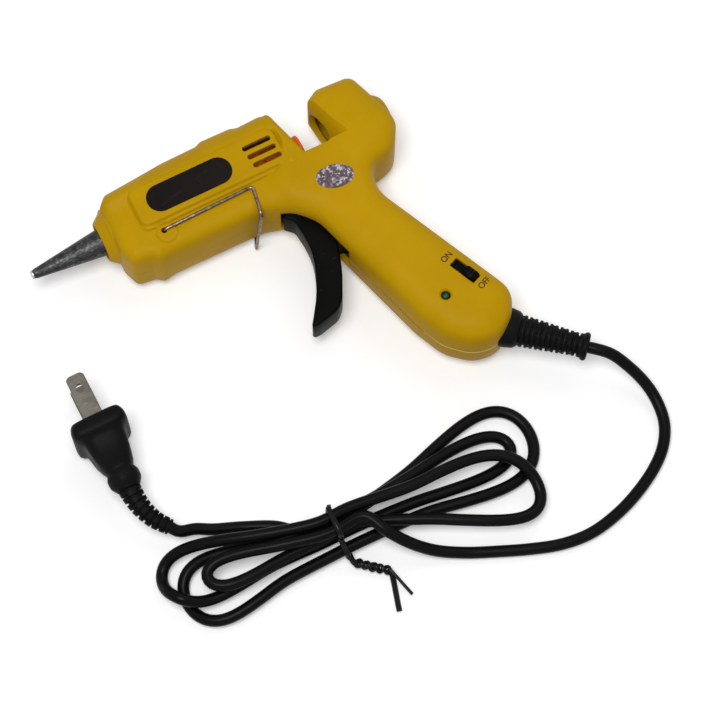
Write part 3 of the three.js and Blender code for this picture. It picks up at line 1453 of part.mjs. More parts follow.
// The two free stretches of cord
const reliefEnd = onRelief(RELIEF_LENGTH + CORD_END_GAP, half);
const leadStart = onRelief(RELIEF_LENGTH + 2 * CORD_RADIUS, half);
const hankEnd = slotPlace(LOBES.length, 1);
const hankStart = slotPlace(0, -1);
const leadPoints = [
  reliefEnd,
  leadStart,
  ...LEAD_ROUTE,
  [hankEnd.x + CORD_RADIUS * 2 + CORD_END_GAP, hankEnd.y, hankEnd.z],
  [hankEnd.x + CORD_END_GAP, hankEnd.y, hankEnd.z],
];
add(cordSet, "cord_lead", cordAlong(leadPoints, CORD_RADIUS, 4 * CORD_RADIUS, CORD_SIDES), cordRubber);
const tailEnd = PLUG_RELIEF_ROUTE.at(-1);
const tailTurn = new THREE.Vector3(...tailEnd).sub(new THREE.Vector3(...PLUG_RELIEF_ROUTE.at(-2))).normalize();
const beyond = (distance) => new THREE.Vector3(...tailEnd).addScaledVector(tailTurn, distance).toArray();
const tailPoints = [
  [hankStart.x - CORD_END_GAP, hankStart.y, hankStart.z],
  [hankStart.x - CORD_RADIUS * 2 - CORD_END_GAP, hankStart.y, hankStart.z],
  ...TAIL_ROUTE,
  beyond(2 * CORD_RADIUS + CORD_END_GAP),
  beyond(CORD_END_GAP),
];
add(cordSet, "cord_tail", cordAlong(tailPoints, CORD_RADIUS, 3 * CORD_RADIUS, CORD_SIDES), cordRubber);

// Plug: a moulded body whose blades lie one above the other, and its ribbed relief
const [plugX, plugY, plugZ] = PLUG_FACE;
function plugSection(y, width, height) {
  const round = Math.min(width, height) / 3;
  const list = corners(
    [
      [-width / 2, -height / 2, round],
      [width / 2, -height / 2, round],
      [width / 2, height / 2, round],
      [-width / 2, height / 2, round],
    ],
    1,
    1,
  );
  return outline(list).map((point) => new THREE.Vector3(plugX + point.x, y, plugZ + point.y));
}
const plugLevels = [
  [plugY, PLUG_WIDTH - 2 * RIB, PLUG_HEIGHT - 2 * RIB],
  [plugY - RIB / 2, PLUG_WIDTH, PLUG_HEIGHT],
  [plugY - PLUG_FLANGE / 2, PLUG_WIDTH, PLUG_HEIGHT],
  [plugY - PLUG_FLANGE, PLUG_WIDTH - 2 * RIB, PLUG_HEIGHT - 2 * RIB],
  [plugY - PLUG_BODY_LENGTH / 2 - PLUG_FLANGE / 2, PLUG_WIDTH - 2 * RIB, PLUG_HEIGHT * 0.75],
  [plugY - PLUG_BODY_LENGTH, PLUG_WAIST, PLUG_WAIST * 1.2],
  [plugY - PLUG_BODY_LENGTH - RIB, 2 * PLUG_BEAD_RADIUS, 2 * PLUG_BEAD_RADIUS],
  [plugY - PLUG_BODY_LENGTH - PLUG_BEAD_LENGTH / 2, 2 * PLUG_BEAD_RADIUS, 2 * PLUG_BEAD_RADIUS],
  [plugY - PLUG_BODY_LENGTH - PLUG_BEAD_LENGTH, 2 * PLUG_RELIEF_RADIUS, 2 * PLUG_RELIEF_RADIUS],
];
const plugRings = plugLevels.map((level) => plugSection(...level));
const plugSkin = skin(plugRings);
for (let k = 1; k < plugSkin.count - 1; k += 1) {
  plugSkin.faces.push(0, k + 1, k, plugSkin.last, plugSkin.last + k, plugSkin.last + k + 1);
}
const bladeHeights = [-1, 1].map((side) => plugZ + (side * BLADE_PITCH) / 2);
const sockets = bladeHeights.map((z) =>
  block(
    plugX - BLADE_WIDTH / 2 - FIT_GAP,
    plugX + BLADE_WIDTH / 2 + FIT_GAP,
    plugY - BLADE_ROOT - FIT_GAP,
    plugY + OVERRUN,
    z - BLADE_THICKNESS / 2 - FIT_GAP,
    z + BLADE_THICKNESS / 2 + FIT_GAP,
  ),
);
add(cordSet, "plug_body", cut(solid(geometryOf(plugSkin.place, plugSkin.faces)), ...sockets), blackRubber);
bladeHeights.forEach((z, i) => {
  const tipFillet = BLADE_WIDTH * 0.45;
  const left = plugX - BLADE_WIDTH / 2;
  const right = plugX + BLADE_WIDTH / 2;
  const blade = cut(
    plate(
      corners(
        [
          [left, plugY - BLADE_ROOT],
          [right, plugY - BLADE_ROOT],
          [right, plugY + BLADE_LENGTH, tipFillet],
          [left, plugY + BLADE_LENGTH, tipFillet],
        ],
        1,
        1,
      ),
      z - BLADE_THICKNESS / 2,
      z + BLADE_THICKNESS / 2,
    ),
    rod(BLADE_HOLE_RADIUS, [plugX, plugY + BLADE_LENGTH - BLADE_WIDTH * 0.6], z - BLADE_WIDTH, z + BLADE_WIDTH),
  );
  add(cordSet, i === 0 ? "plug_blade_lower" : "plug_blade_upper", blade, brightSteel);
});
const plugBack = plugY - PLUG_BODY_LENGTH - PLUG_BEAD_LENGTH - FIT_GAP;
const reliefCurve = new THREE.CatmullRomCurve3(
  [[plugX, plugBack, plugZ], ...PLUG_RELIEF_ROUTE].map((point) => new THREE.Vector3(...point)),
);
const reliefSteps = 3 * PLUG_RELIEF_RIBS;
const plugRelief = tube(
  reliefCurve.getSpacedPoints(reliefSteps),
  (i) => {
    const taper = THREE.MathUtils.lerp(PLUG_RELIEF_RADIUS, CORD_RADIUS + RELIEF_GROOVE, i / reliefSteps);
    return i % 3 === 0 && i > 0 && i < reliefSteps ? taper - RELIEF_GROOVE : taper;
  },
  CORD_SIDES,
);
add(cordSet, "plug_relief", solid(plugRelief), blackRubber);

// Twist tie: one wire from an end, twisted, round the bundle once, twisted back and out to the other end
const wireClear = CORD_RADIUS + FIT_GAP + TIE_WIRE_RADIUS;
const columns = PASS_SLOTS.map(([column]) => TIE_PLACE[1] + column * STRAND_PITCH);
const topLayer = Math.max(...PASS_SLOTS.map(([, layer]) => layer));
const wrapNear = Math.min(...columns) - wireClear;
const wrapFar = Math.max(...columns) + wireClear;
const wrapStep = TIE_PLACE[1] - wireClear;
const wrapLow = TIE_WIRE_RADIUS + CORD_REST / 2;
const wrapTop = bundleFloor + topLayer * STRAND_PITCH + wireClear;
const wrapShoulder = bundleFloor + wireClear;
const knot = new THREE.Vector3(...TIE_TAIL[0]);
const split = new THREE.Vector3(...TIE_TAIL[1]);
const strandIn = helix(knot, split, TIE_TWIST_RADIUS, TIE_TWISTS / 2, 8, 0).reverse();
const strandOut = helix(knot, split, TIE_TWIST_RADIUS, TIE_TWISTS / 2, 8, Math.PI);
const wrapX = TIE_PLACE[0];
const wrapSide = TIE_WIRE_RADIUS + FIT_GAP / 2;
const wrap = bentPath(
  [
    strandIn.at(-1).toArray(),
    [wrapX - wrapSide, wrapNear, wrapShoulder],
    [wrapX - wrapSide, wrapStep, wrapShoulder + CORD_RADIUS],
    [wrapX - wrapSide, wrapStep, wrapTop],
    [wrapX, wrapFar, wrapTop],
    [wrapX, wrapFar, wrapLow],
    [wrapX + wrapSide, wrapNear, wrapLow],
    strandOut[0].toArray(),
  ],
  TIE_TWIST_RADIUS,
).slice(1, -1);
const tiePoints = [
  new THREE.Vector3(...TIE_ENDS[0]),
  ...strandIn,
  ...wrap,
  ...strandOut,
  new THREE.Vector3(...TIE_ENDS[1]),
];
add(cordSet, "twist_tie", solid(tube(tiePoints, TIE_WIRE_RADIUS, WIRE_SIDES)), blackRubber);

// The gun's box stands centred on the origin; the cord shares its table.
const box = new THREE.Box3().setFromObject(gun);
const middle = box.getCenter(new THREE.Vector3());
gun.position.set(-middle.x, -middle.y, -box.min.z);
cordSet.position.set(-middle.x, -middle.y, 0);
const kit = new THREE.Group();
kit.add(gun, cordSet);

export default kit;
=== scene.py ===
"""A small electric hot glue gun on a table, with its cord tied in a hank and its plug beside it."""
import math

import bmesh
import bpy
import numpy as np
from mathutils import Matrix, Vector, geometry


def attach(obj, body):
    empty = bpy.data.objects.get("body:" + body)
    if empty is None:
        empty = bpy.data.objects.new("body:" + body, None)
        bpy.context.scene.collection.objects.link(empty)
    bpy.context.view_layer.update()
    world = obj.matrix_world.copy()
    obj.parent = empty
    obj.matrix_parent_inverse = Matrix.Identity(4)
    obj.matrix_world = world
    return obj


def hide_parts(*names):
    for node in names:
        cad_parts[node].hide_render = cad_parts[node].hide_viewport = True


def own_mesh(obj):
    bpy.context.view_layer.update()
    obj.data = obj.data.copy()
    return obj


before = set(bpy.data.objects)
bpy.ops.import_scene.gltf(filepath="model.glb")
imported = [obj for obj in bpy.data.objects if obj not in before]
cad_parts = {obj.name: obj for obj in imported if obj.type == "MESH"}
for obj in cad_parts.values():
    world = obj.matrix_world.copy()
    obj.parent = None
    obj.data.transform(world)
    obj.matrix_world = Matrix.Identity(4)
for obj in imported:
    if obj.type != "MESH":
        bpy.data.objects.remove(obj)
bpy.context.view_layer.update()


# The table and the photographer's lights: a plain white sheet, two broad soft lamps and an even sky. The
# camera looks down at the gun from in front of its handle, with a long lens.
MM = 0.001
SKY_STRENGTH = 0.3
SHEET_WHITE, SHEET_LIFT = 0.9, 0.2  # its colour, and how much brighter the camera sees it
CAMERA_PLACE = (-118.66, -263.55, 751.75)
CAMERA_AIM = (6.83, -20.42, 0)
CAMERA_LENS = 121.2
LAMPS = [  # name, place, breadth and power
    ("key_lamp", (-170, -140, 900), 420, 5.4),
    ("fill_lamp", (420, 260, 620), 620, 0.9),
]


def camera_and_lamps():
    scene = bpy.context.scene
    scene.view_settings.view_transform = "Standard"

    def aimed(data, place):
        """A camera or lamp at its place, turned to the gun."""
        made = bpy.data.objects.new(data.name, data)
        made.location = Vector(place) * MM
        to_gun = Vector(CAMERA_AIM) * MM - made.location
        made.rotation_euler = to_gun.to_track_quat("-Z", "Y").to_euler()
        scene.collection.objects.link(made)
        return made

    lens = bpy.data.cameras.new("camera")
    lens.lens = CAMERA_LENS
    lens.clip_start, lens.clip_end = 0.05, 5
    scene.camera = aimed(lens, CAMERA_PLACE)
    for name, place, size, power in LAMPS:
        light = bpy.data.lights.new(name, "AREA")
        light.shape, light.size, light.energy = "DISK", size * MM, power
        aimed(light, place)


def wired(tree, kind, inputs=None, **settings):
    """A new node with its settings, and its inputs set to values or joined to other sockets."""
    node = tree.nodes.new(kind)
    for key, value in settings.items():
        setattr(node, key, value)
    for key, value in (inputs or {}).items():
        if isinstance(value, bpy.types.NodeSocket):
            tree.links.new(value, node.inputs[key])
        else:
            node.inputs[key].default_value = value
    return node


def worked(tree, operation, *values):
    """What a Math node makes of values."""
    return wired(tree, "ShaderNodeMath", dict(enumerate(values)), operation=operation).outputs[0]


def labelled(values):
    """Values by their sockets' names: To_Min stands for To Min."""
    return {key.replace("_", " "): value for key, value in values.items()}


def ranged(tree, value, **limits):
    """A value taken from one range to another."""
    return wired(tree, "ShaderNodeMapRange", {"Value": value, **labelled(limits)}).outputs["Result"]


def seen_directly(tree):
    """Whether a ray comes from the camera, straight or by way of gloss or glass."""
    path = wired(tree, "ShaderNodeLightPath").outputs
    opaque = worked(tree, "MAXIMUM", path["Is Camera Ray"], path["Is Glossy Ray"])
    return worked(tree, "MAXIMUM", opaque, path["Is Transmission Ray"])


def white_sky():
    """Even light on the object, and plain white behind it and in what it reflects."""
    world = bpy.data.worlds.new("sky")
    bpy.context.scene.world = world
    world.use_nodes = True
    tree = world.node_tree
    sky = tree.nodes["Background"].inputs
    sky["Color"].default_value = (1, 1, 1, 1)
    tree.links.new(ranged(tree, seen_directly(tree), To_Min=SKY_STRENGTH, To_Max=1), sky["Strength"])


def new_finish(name, colour, roughness, metallic=0.0, **more):
    """A material, its nodes and its Principled shader's inputs, set and ready for texture."""
    made = bpy.data.materials.new(name)
    made.use_nodes = True
    tree = made.node_tree
    shader = tree.nodes["Principled BSDF"].inputs
    more.update(Base_Color=(*colour, 1), Roughness=roughness, Metallic=metallic)
    for socket, value in labelled(more).items():
        shader[socket].default_value = value
    return made, tree, shader


def grey(level):
    return (level,) * 3


def white_sheet():
    bpy.ops.mesh.primitive_plane_add(size=4, location=(0, 0, 0))
    sheet = bpy.context.object
    sheet.name = "white_sheet"
    paper, tree, shader = new_finish("white_sheet", grey(SHEET_WHITE), 0.9, Specular_IOR_Level=0,
                                     Emission_Color=(1, 1, 1, 1))
    lift = ranged(tree, seen_directly(tree), To_Min=0, To_Max=SHEET_LIFT)
    tree.links.new(lift, shader["Emission Strength"])
    sheet.data.materials.append(paper)


camera_and_lamps()
white_sky()
white_sheet()


# Cord: a round two-core mains cord, 4 mm over its black vinyl sheath. It leaves the handle's boot, lies along
# the table, is folded to and fro in a hank under a twist tie, and runs on to the plug.
GUN_CORNER = Vector((-49.368395, -46.121467, 0))  # the gun's own corner, from which places are given
MID_PLANE = 14  # the casing's parting plane above the table
CORD_RADIUS = 2
CORD_SIDES = 16
CORD_STEP = 1.4
CORD_EASING = 24  # rounds of smoothing, by which a stiff cord shares a tight bend along its length
EASING_PULLS = (0.5, -0.52)  # each round pulls the points in and then lets them out, so that no loop shrinks
MOUTH_GAP = 0.04  # between the cord's ends and the mouths of the two boots
CORD_REST = 0.1  # between the cord and the table
BOOT_TURN = math.radians(-42)
BOOT_PLACE = (103.95, 4.62)
BOOT_LENGTH = 28
CORD_LEAD = [
    (130.6, -19.3, 13), (134.6, -25.2, 9.5), (137.6, -31.5, 5.6), (138.6, -38, 3.2),
    (137.2, -46, 2.3), (133, -52.6, 2.1), (126.5, -58, 2.1), (116.5, -63.2, 2.1),
    (107, -66.4, 2.1), (97, -68, 2.1), (87, -67, 2.1), (77, -63.8, 2.1), (67, -59.6, 2.1),
    (57, -55, 2.3), (48, -50, 4.2), (41, -44.6, 8.6), (35.8, -38.4, 12.4),
]
CORD_TAIL = [(6.5, -19.2, 2.6), (-3.5, -14, 2.4), (-13.7, -10.1, 3.8), (-20.4, -7, 5.4)]
TIE_PLACE = (22.7, -31.05)
STRAND_PITCH = 4.54
PASS_LENGTH = 10
TIE_WIRE_RADIUS = 0.75
BUNDLE_FLOOR = 3.9
LOBE_FULLNESS = 0.62
LOBE_STEPS = 16
# Columns and layers that the seven runs take through the tie
PASS_SLOTS = [(1, 0), (-1.15, 0), (1, 1), (0, 0), (1, 2), (0, 1), (0, 2)]
# The lobes between them: far point, half width, layer, and the crest where one climbs over another
LOBES = [
    ((95.4, -27.8), 12.5, 0, (0.5, 0.1, 0)),
    ((-31.4, -28.2), 10, 0, (0.5, 0.1, 0)),
    ((87.4, -29.1), 6.2, 0, (0.5, 0.1, 0)),
    ((-35.8, -20.5), 9, 0, (0.39, 0.11, 5.2)),
    ((88.6, -45.2), 11.4, 0.5, (0.38, 0.14, 3)),
    ((-22.4, -26), 4.4, 1.6, (0.5, 0.1, 0)),
]
PLUG_BOOT_ROUTE = [(-32, 11.2, 12), (-31.3, 5.6, 10.8), (-29.1, 0.2, 9), (-25.6, -4.1, 7.2)]


# From millimetres at the gun's corner, on the table or at its parting plane, to metres in the frame
ON_TABLE = Matrix.Scale(MM, 4) @ Matrix.Translation(GUN_CORNER)
ON_GUN = ON_TABLE @ Matrix.Translation((0, 0, MID_PLANE))


def run_place(i, end):
    column, layer = PASS_SLOTS[i]
    heading = 1 if i % 2 == 0 else -1
    return Vector((
        TIE_PLACE[0] + heading * end * PASS_LENGTH / 2,
        TIE_PLACE[1] + column * STRAND_PITCH,
        BUNDLE_FLOOR + layer * STRAND_PITCH,
    ))


def lobe_place(i, share):
    far, half, layer, (crest_share, spread, crest) = LOBES[i]
    side = 1 if i % 2 == 0 else -1
    rise = math.sin(math.pi * share)
    outward = rise**LOBE_FULLNESS
    base = run_place(i, 1).lerp(run_place(i + 1, -1), share)
    low = CORD_RADIUS + CORD_REST + layer * STRAND_PITCH
    lift = crest * math.exp(-(((share - crest_share) / spread) ** 2))
    return Vector((
        base.x + (far[0] - base.x) * outward,
        base.y + (far[1] - base.y) * outward + side * half * math.sin(2 * math.pi * share),
        base.z + (low - base.z) * rise * rise + lift,
    ))


def hank_places():
    places = [run_place(0, -1)]
    for i in range(len(LOBES)):
        places.append(run_place(i, 1))
        places += [lobe_place(i, step / LOBE_STEPS) for step in range(1, LOBE_STEPS)]
        places.append(run_place(i + 1, -1))
    places.append(run_place(len(LOBES), 1))
    return places


def along_boot(distance, z=0.0):
    return Vector((
        BOOT_PLACE[0] + distance * math.cos(BOOT_TURN),
        BOOT_PLACE[1] + distance * math.sin(BOOT_TURN),
        z,
    ))


def eased(points, step):
    """A smooth line through chosen points, stepped evenly."""
    p = [Vector(v) for v in points]
    p = [2 * p[0] - p[1]] + p + [2 * p[-1] - p[-2]]
    fine = []
    for a, b, c, d in zip(p, p[1:], p[2:], p[3:]):
        k = [0.0]
        for u, v in ((a, b), (b, c), (c, d)):
            k.append(k[-1] + max((v - u).length, 1e-6) ** 0.5)
        for n in range(8):
            t = k[1] + (k[2] - k[1]) * n / 8
            ab = (a * (k[1] - t) + b * (t - k[0])) / (k[1] - k[0])
            bc = (b * (k[2] - t) + c * (t - k[1])) / (k[2] - k[1])
            cd = (c * (k[3] - t) + d * (t - k[2])) / (k[3] - k[2])
            abc = (ab * (k[2] - t) + bc * (t - k[0])) / (k[2] - k[0])
            bcd = (bc * (k[3] - t) + cd * (t - k[1])) / (k[3] - k[1])
            fine.append((abc * (k[2] - t) + bcd * (t - k[1])) / (k[2] - k[1]))
    fine.append(p[-2])
    run = np.cumsum([0] + [(v - u).length for u, v in zip(fine, fine[1:])])
    want = np.linspace(0, run[-1], max(2, round(run[-1] / step)) + 1)
    table = np.array(fine)
    return [Vector([np.interp(w, run, row) for row in table.T]) for w in want]


def mesh_of(form, place=ON_GUN):
    """A mesh from a form's corners and faces: corners that meet become one, and its faces look outward."""
    places, faces = form
    mesh = bpy.data.meshes.new("form")
    mesh.from_pydata([tuple(place @ Vector(p)) for p in places], [], [tuple(int(i) for i in f) for f in faces])
    skin = bmesh.new()
    skin.from_mesh(mesh)
    near = 1e-3 * place.to_scale()[0]
    bmesh.ops.remove_doubles(skin, verts=skin.verts, dist=near)
    bmesh.ops.dissolve_degenerate(skin, dist=near / 10, edges=skin.edges)
    bmesh.ops.delete(skin, geom=[v for v in skin.verts if not v.link_faces], context="VERTS")
    bmesh.ops.recalc_face_normals(skin, faces=skin.faces)
    skin.to_mesh(mesh)
    skin.free()
    return mesh


def piece(name, form, finish, slot, place=ON_GUN, body="body", smooth=35):
    """A named object from a form in millimetres, in one finish, riding on a body."""
    made = bpy.data.objects.new(name, mesh_of(form, place))
    made.data.name = name
    bpy.context.scene.collection.objects.link(made)
    made.data.materials.append(finish)
    made.data.shade_smooth()
    made.data.set_sharp_from_angle(angle=math.radians(smooth))
    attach(made, body)
    return made


def bands(rows, n):
    """The faces between rows of n places, each row joined to the next."""
    return [
        (r * n + k, r * n + (k + 1) % n, (r + 1) * n + (k + 1) % n, (r + 1) * n + k)
        for r in range(rows - 1) for k in range(n)
    ]


def closed(places, n):
    """A form through rows of n places, with its first and last row filled in."""
    last = len(places) - n
    return places, bands(len(places) // n, n) + [tuple(range(n)), tuple(range(last, last + n))]


def swept(line, sections):
    """A closed tube along a line; each section is a list of (across, up) offsets at that point."""
    ends = len(line) - 1
    tangents = [(line[min(i + 1, ends)] - line[max(i - 1, 0)]).normalized() for i in range(len(line))]
    up = Vector((0, 0, 1)) if abs(tangents[0].z) < 0.7 else Vector((1, 0, 0))
    places = []
    for point, tangent, section in zip(line, tangents, sections):
        up = (up - tangent * up.dot(tangent)).normalized()
        across = tangent.cross(up)
        places += [point + across * a + up * b for a, b in section]
    return closed(places, len(sections[0]))


def tube(line, radius, sides):
    return swept(line, [circle(radius, sides)] * len(line))


def circle(radius, sides, flat=1.0):
    turn = [2 * math.pi * k / sides for k in range(sides)]
    return [(radius * math.cos(a), radius * flat * math.sin(a)) for a in turn]


def effect_group(name, inputs, outputs):
    tree = bpy.data.node_groups.new(name, "ShaderNodeTree")
    for label, value in inputs.items():
        socket = tree.interface.new_socket(label, in_out="INPUT", socket_type="NodeSocketFloat")
        socket.default_value = value
    for label in outputs:
        tree.interface.new_socket(label, in_out="OUTPUT", socket_type="NodeSocketFloat")
    return tree, tree.nodes.new("NodeGroupInput").outputs, tree.nodes.new("NodeGroupOutput").inputs


def noise(tree, place, scale, detail, roughness=0.5):
    given = {"Vector": place, "Scale": scale, "Detail": detail, "Roughness": roughness}
    return wired(tree, "ShaderNodeTexNoise", given).outputs["Fac"]


def mould_texture():
    """The fine grain that a spark-eroded mould leaves, and slow clouds where a surface was handled."""
    tree, given, result = effect_group(
        "mould_texture", {"Grain Scale": 2600, "Cloud Scale": 45}, ["Grain", "Cloud"]
    )
    place = wired(tree, "ShaderNodeTexCoord").outputs["Object"]
    cloud = noise(tree, place, given["Cloud Scale"], 5, 0.55)
    tree.links.new(noise(tree, place, given["Grain Scale"], 2, 0.6), result["Grain"])
    tree.links.new(ranged(tree, cloud, From_Min=0.3, From_Max=0.7), result["Cloud"])
    return tree


def edge_wear_and_sheen():
    """Raised edges, broken up into patches: rubbed by hands and tables, and, where their colour is much
    lighter, a painted edge highlight.
    """
    tree, given, result = effect_group("edge_wear_and_sheen", {"Sharpness": 0.53, "Patch Scale": 350}, ["Mask"])
    place = wired(tree, "ShaderNodeTexCoord").outputs["Object"]
    edge = wired(tree, "ShaderNodeNewGeometry").outputs["Pointiness"]
    top = worked(tree, "ADD", given["Sharpness"], 0.05)
    raised = ranged(tree, edge, From_Min=given["Sharpness"], From_Max=top)
    worn_and_sheen = ranged(tree, noise(tree, place, given["Patch Scale"], 4), From_Min=0.42, From_Max=0.6)
    tree.links.new(worked(tree, "MULTIPLY", raised, worn_and_sheen), result["Mask"])
    return tree


def hair_scratches():
    """Hair-fine scratches and lint, in two directions."""
    tree, given, result = effect_group("hair_scratches", {"Scale": 260, "Width": 0.004}, ["Mask"])
    place = wired(tree, "ShaderNodeTexCoord").outputs["Object"]
    lines = []
    for turn in (0.5, -0.9):
        drawn = {"Vector": place, "Rotation": (0.2, 0.1, turn), "Scale": (0.12, 1, 1)}
        along = wired(tree, "ShaderNodeMapping", drawn).outputs[0]
        lines.append(worked(tree, "COMPARE", noise(tree, along, given["Scale"], 0), 0.62, given["Width"]))
    tree.links.new(worked(tree, "MAXIMUM", *lines), result["Mask"])
    return tree


MOULD_TEXTURE, EDGE_WEAR_AND_SHEEN, HAIR_SCRATCHES = mould_texture(), edge_wear_and_sheen(), hair_scratches()


def effect(tree, group, **values):
    return wired(tree, "ShaderNodeGroup", labelled(values), node_tree=group).outputs


def mixed(tree, share, first, second):
    """Two colours mixed by a share."""
    first, second = ((*c, 1) if isinstance(c, tuple) else c for c in (first, second))
    return wired(tree, "ShaderNodeMix", {0: share, 6: first, 7: second}, data_type="RGBA").outputs[2]


def skinned(tree, shader, skin, smooth, rough, relief):
    """Roughness that follows a surface's clouds, and relief from its grain."""
    tree.links.new(ranged(tree, skin["Cloud"], To_Min=smooth, To_Max=rough), shader["Roughness"])
    bump = wired(tree, "ShaderNodeBump", {"Strength": relief, "Distance": 0.0002, "Height": skin["Grain"]})
    tree.links.new(bump.outputs["Normal"], shader["Normal"])


def moulded_finish(name, colour, roughness, shade, worn_and_sheen, grain=0.1, grain_scale=2600.0, cloud_scale=45.0,
                   sharpness=0.53, scratch=0.004, **more):
    """Moulded plastic or vinyl: grain, handling clouds, hair scratches, and raised edges in a lighter colour,
    which is rubbed wear and, on the black trigger, a painted edge highlight.
    """
    made, tree, shader = new_finish(name, colour, roughness, **more)
    skin = effect(tree, MOULD_TEXTURE, Grain_Scale=grain_scale, Cloud_Scale=cloud_scale)
    edge_wear_sheen_mask = worked(tree, "MULTIPLY", effect(tree, EDGE_WEAR_AND_SHEEN, Sharpness=sharpness)["Mask"], 0.45)
    marked = worked(tree, "MULTIPLY", effect(tree, HAIR_SCRATCHES, Width=scratch)["Mask"], 0.25)
    toned = mixed(tree, skin["Cloud"], colour, shade)
    tree.links.new(mixed(tree, worked(tree, "MAXIMUM", edge_wear_sheen_mask, marked), toned, worn_and_sheen), shader["Base Color"])
    skinned(tree, shader, skin, roughness - 0.05, roughness + 0.08, grain)
    return made


cord_vinyl = moulded_finish("cord_vinyl", grey(0.0025), 0.28, grey(0.004), grey(0.02), grain=0.05,
                            grain_scale=900.0, sharpness=0.6, scratch=0.002, Specular_IOR_Level=0.06)
boot_end = along_boot(BOOT_LENGTH + MOUTH_GAP, MID_PLANE)
into_boot = Vector(PLUG_BOOT_ROUTE[-1])
from_boot = (into_boot - Vector(PLUG_BOOT_ROUTE[-2])).normalized()
last_run = run_place(len(LOBES), 1)
first_run = run_place(0, -1)
cord_line = eased(
    [boot_end, along_boot(BOOT_LENGTH + 2 * CORD_RADIUS, MID_PLANE)]
    + CORD_LEAD
    + [last_run + Vector((2 * CORD_RADIUS, 0, 0))]
    + hank_places()[::-1]
    + [first_run - Vector((2 * CORD_RADIUS, 0, 0))]
    + CORD_TAIL
    + [into_boot + from_boot * 2 * CORD_RADIUS, into_boot + from_boot * MOUTH_GAP],
    CORD_STEP,
)
for _ in range(CORD_EASING):
    for pull in EASING_PULLS:
        eased_line = [p + ((a + b) / 2 - p) * pull for a, p, b in zip(cord_line, cord_line[1:], cord_line[2:])]
        cord_line = [cord_line[0], *eased_line, cord_line[-1]]
cord = piece("cord", tube(cord_line, CORD_RADIUS, CORD_SIDES), cord_vinyl, place=ON_TABLE, slot="cord_rubber")
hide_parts("cord_lead", "cord_hank", "cord_tail")


# Twist tie: a vinyl ribbon with a wire in it, wrapped once round the hank, its ends twisted together
# five half turns and then splayed on the table.
TIE_KNOT, TIE_SPLIT = (23, -41.6, 3.2), (32.4, -48.8, 2)
TIE_ENDS = [(28.8, -62.2, 0.9), (35.2, -59, 0.9)]
TIE_TWIST_RADIUS = 1
TIE_TURNS = 2.5
TIE_CLEARANCE = 0.3
# Half of the ribbon's section, thickest over its wire, as shares of the wire's radius
TIE_RIBBON_SHARES = [
    (1.25, 0), (1.1, 0.3), (0.55, 0.3), (0.4, 0.62), (0, 0.75), (-0.4, 0.62), (-0.55, 0.3), (-1.1, 0.3),
]


def twist(start, end, radius, turns, phase):
    axis = end - start
    up = Vector((0, 0, 1))
    third = axis.normalized().cross(up)
    steps = round(turns * 10)
    turn = [phase + 2 * math.pi * turns * i / steps for i in range(steps + 1)]
    return [
        start + axis * (i / steps) + up * (radius * math.cos(a)) + third * (radius * math.sin(a))
        for i, a in enumerate(turn)
    ]


def tie_line():
    clear = CORD_RADIUS + TIE_CLEARANCE + TIE_WIRE_RADIUS
    columns = [TIE_PLACE[1] + column * STRAND_PITCH for column, _ in PASS_SLOTS]
    top = BUNDLE_FLOOR + 2 * STRAND_PITCH + clear
    shoulder, low = BUNDLE_FLOOR + clear, TIE_WIRE_RADIUS + 0.05
    near, far, step = min(columns) - clear, max(columns) + clear, TIE_PLACE[1] - clear
    knot, split, x = Vector(TIE_KNOT), Vector(TIE_SPLIT), TIE_PLACE[0]
    strand_in = twist(knot, split, TIE_TWIST_RADIUS, TIE_TURNS, 0)[::-1]
    strand_out = twist(knot, split, TIE_TWIST_RADIUS, TIE_TURNS, math.pi)
    aside = TIE_WIRE_RADIUS + TIE_CLEARANCE / 2
    wrap = [
        (x - aside, near, shoulder - 1), (x - aside, near + 0.5, shoulder + 0.6),
        (x - aside, step - 0.6, shoulder + CORD_RADIUS), (x - aside, step, shoulder + CORD_RADIUS + 1),
        (x - aside, step, top - 1.4), (x - aside, step + 1.2, top), (x - aside / 2, far - 1.4, top),
        (x, far, top - 1.4), (x, far, low + 1.4), (x, far - 1.4, low), (x + aside / 2, near + 1.4, low),
    ]
    return [TIE_ENDS[0]] + strand_in + wrap + strand_out + [TIE_ENDS[1]]


tie_vinyl = moulded_finish("tie_vinyl", grey(0.005), 0.25, grey(0.009), grey(0.03), grain=0.04,
                           grain_scale=1200.0, sharpness=0.6, scratch=0.002, Specular_IOR_Level=0.12)
tie_path = eased(tie_line(), 0.5)
tie_half = [(a * TIE_WIRE_RADIUS, b * TIE_WIRE_RADIUS) for a, b in TIE_RIBBON_SHARES]
tie_ribbon = tie_half + [(-a, -b) for a, b in tie_half]
twist_tie = piece("hank_tie", swept(tie_path, [tie_ribbon] * len(tie_path)), tie_vinyl, place=ON_TABLE,
                  slot="tie_film")
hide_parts("twist_tie")


# Boot: the moulded vinyl strain relief at the butt. Its ring ribs are joined by small bridges, two on each
# groove and a quarter turn on from the last, so that it bends with the cord; it ends in a rounded collar.
BOOT_FLANGE_RADIUS, BOOT_FLANGE_LENGTH = 6.8, 4.5
BOOT_BODY_RADIUS, BOOT_TIP_RADIUS = 5.5, 4.0
BOOT_CORE_RADIUS = 3.1
BOOT_COLLAR_RADIUS, BOOT_COLLAR_LENGTH, BOOT_NECK_RADIUS = 4.9, 4.0, 4.1
BOOT_RIBS, BOOT_RIB_SHARE = 11, 0.62  # how many, and their share of each pitch
BOOT_PITCH = (BOOT_LENGTH - BOOT_COLLAR_LENGTH - BOOT_FLANGE_LENGTH) / BOOT_RIBS
BOOT_GROOVE, BOOT_BRIDGE, BRIDGE_SUNK = 0.85, 1.3, 0.5  # groove's depth, bridge's half width and its drop


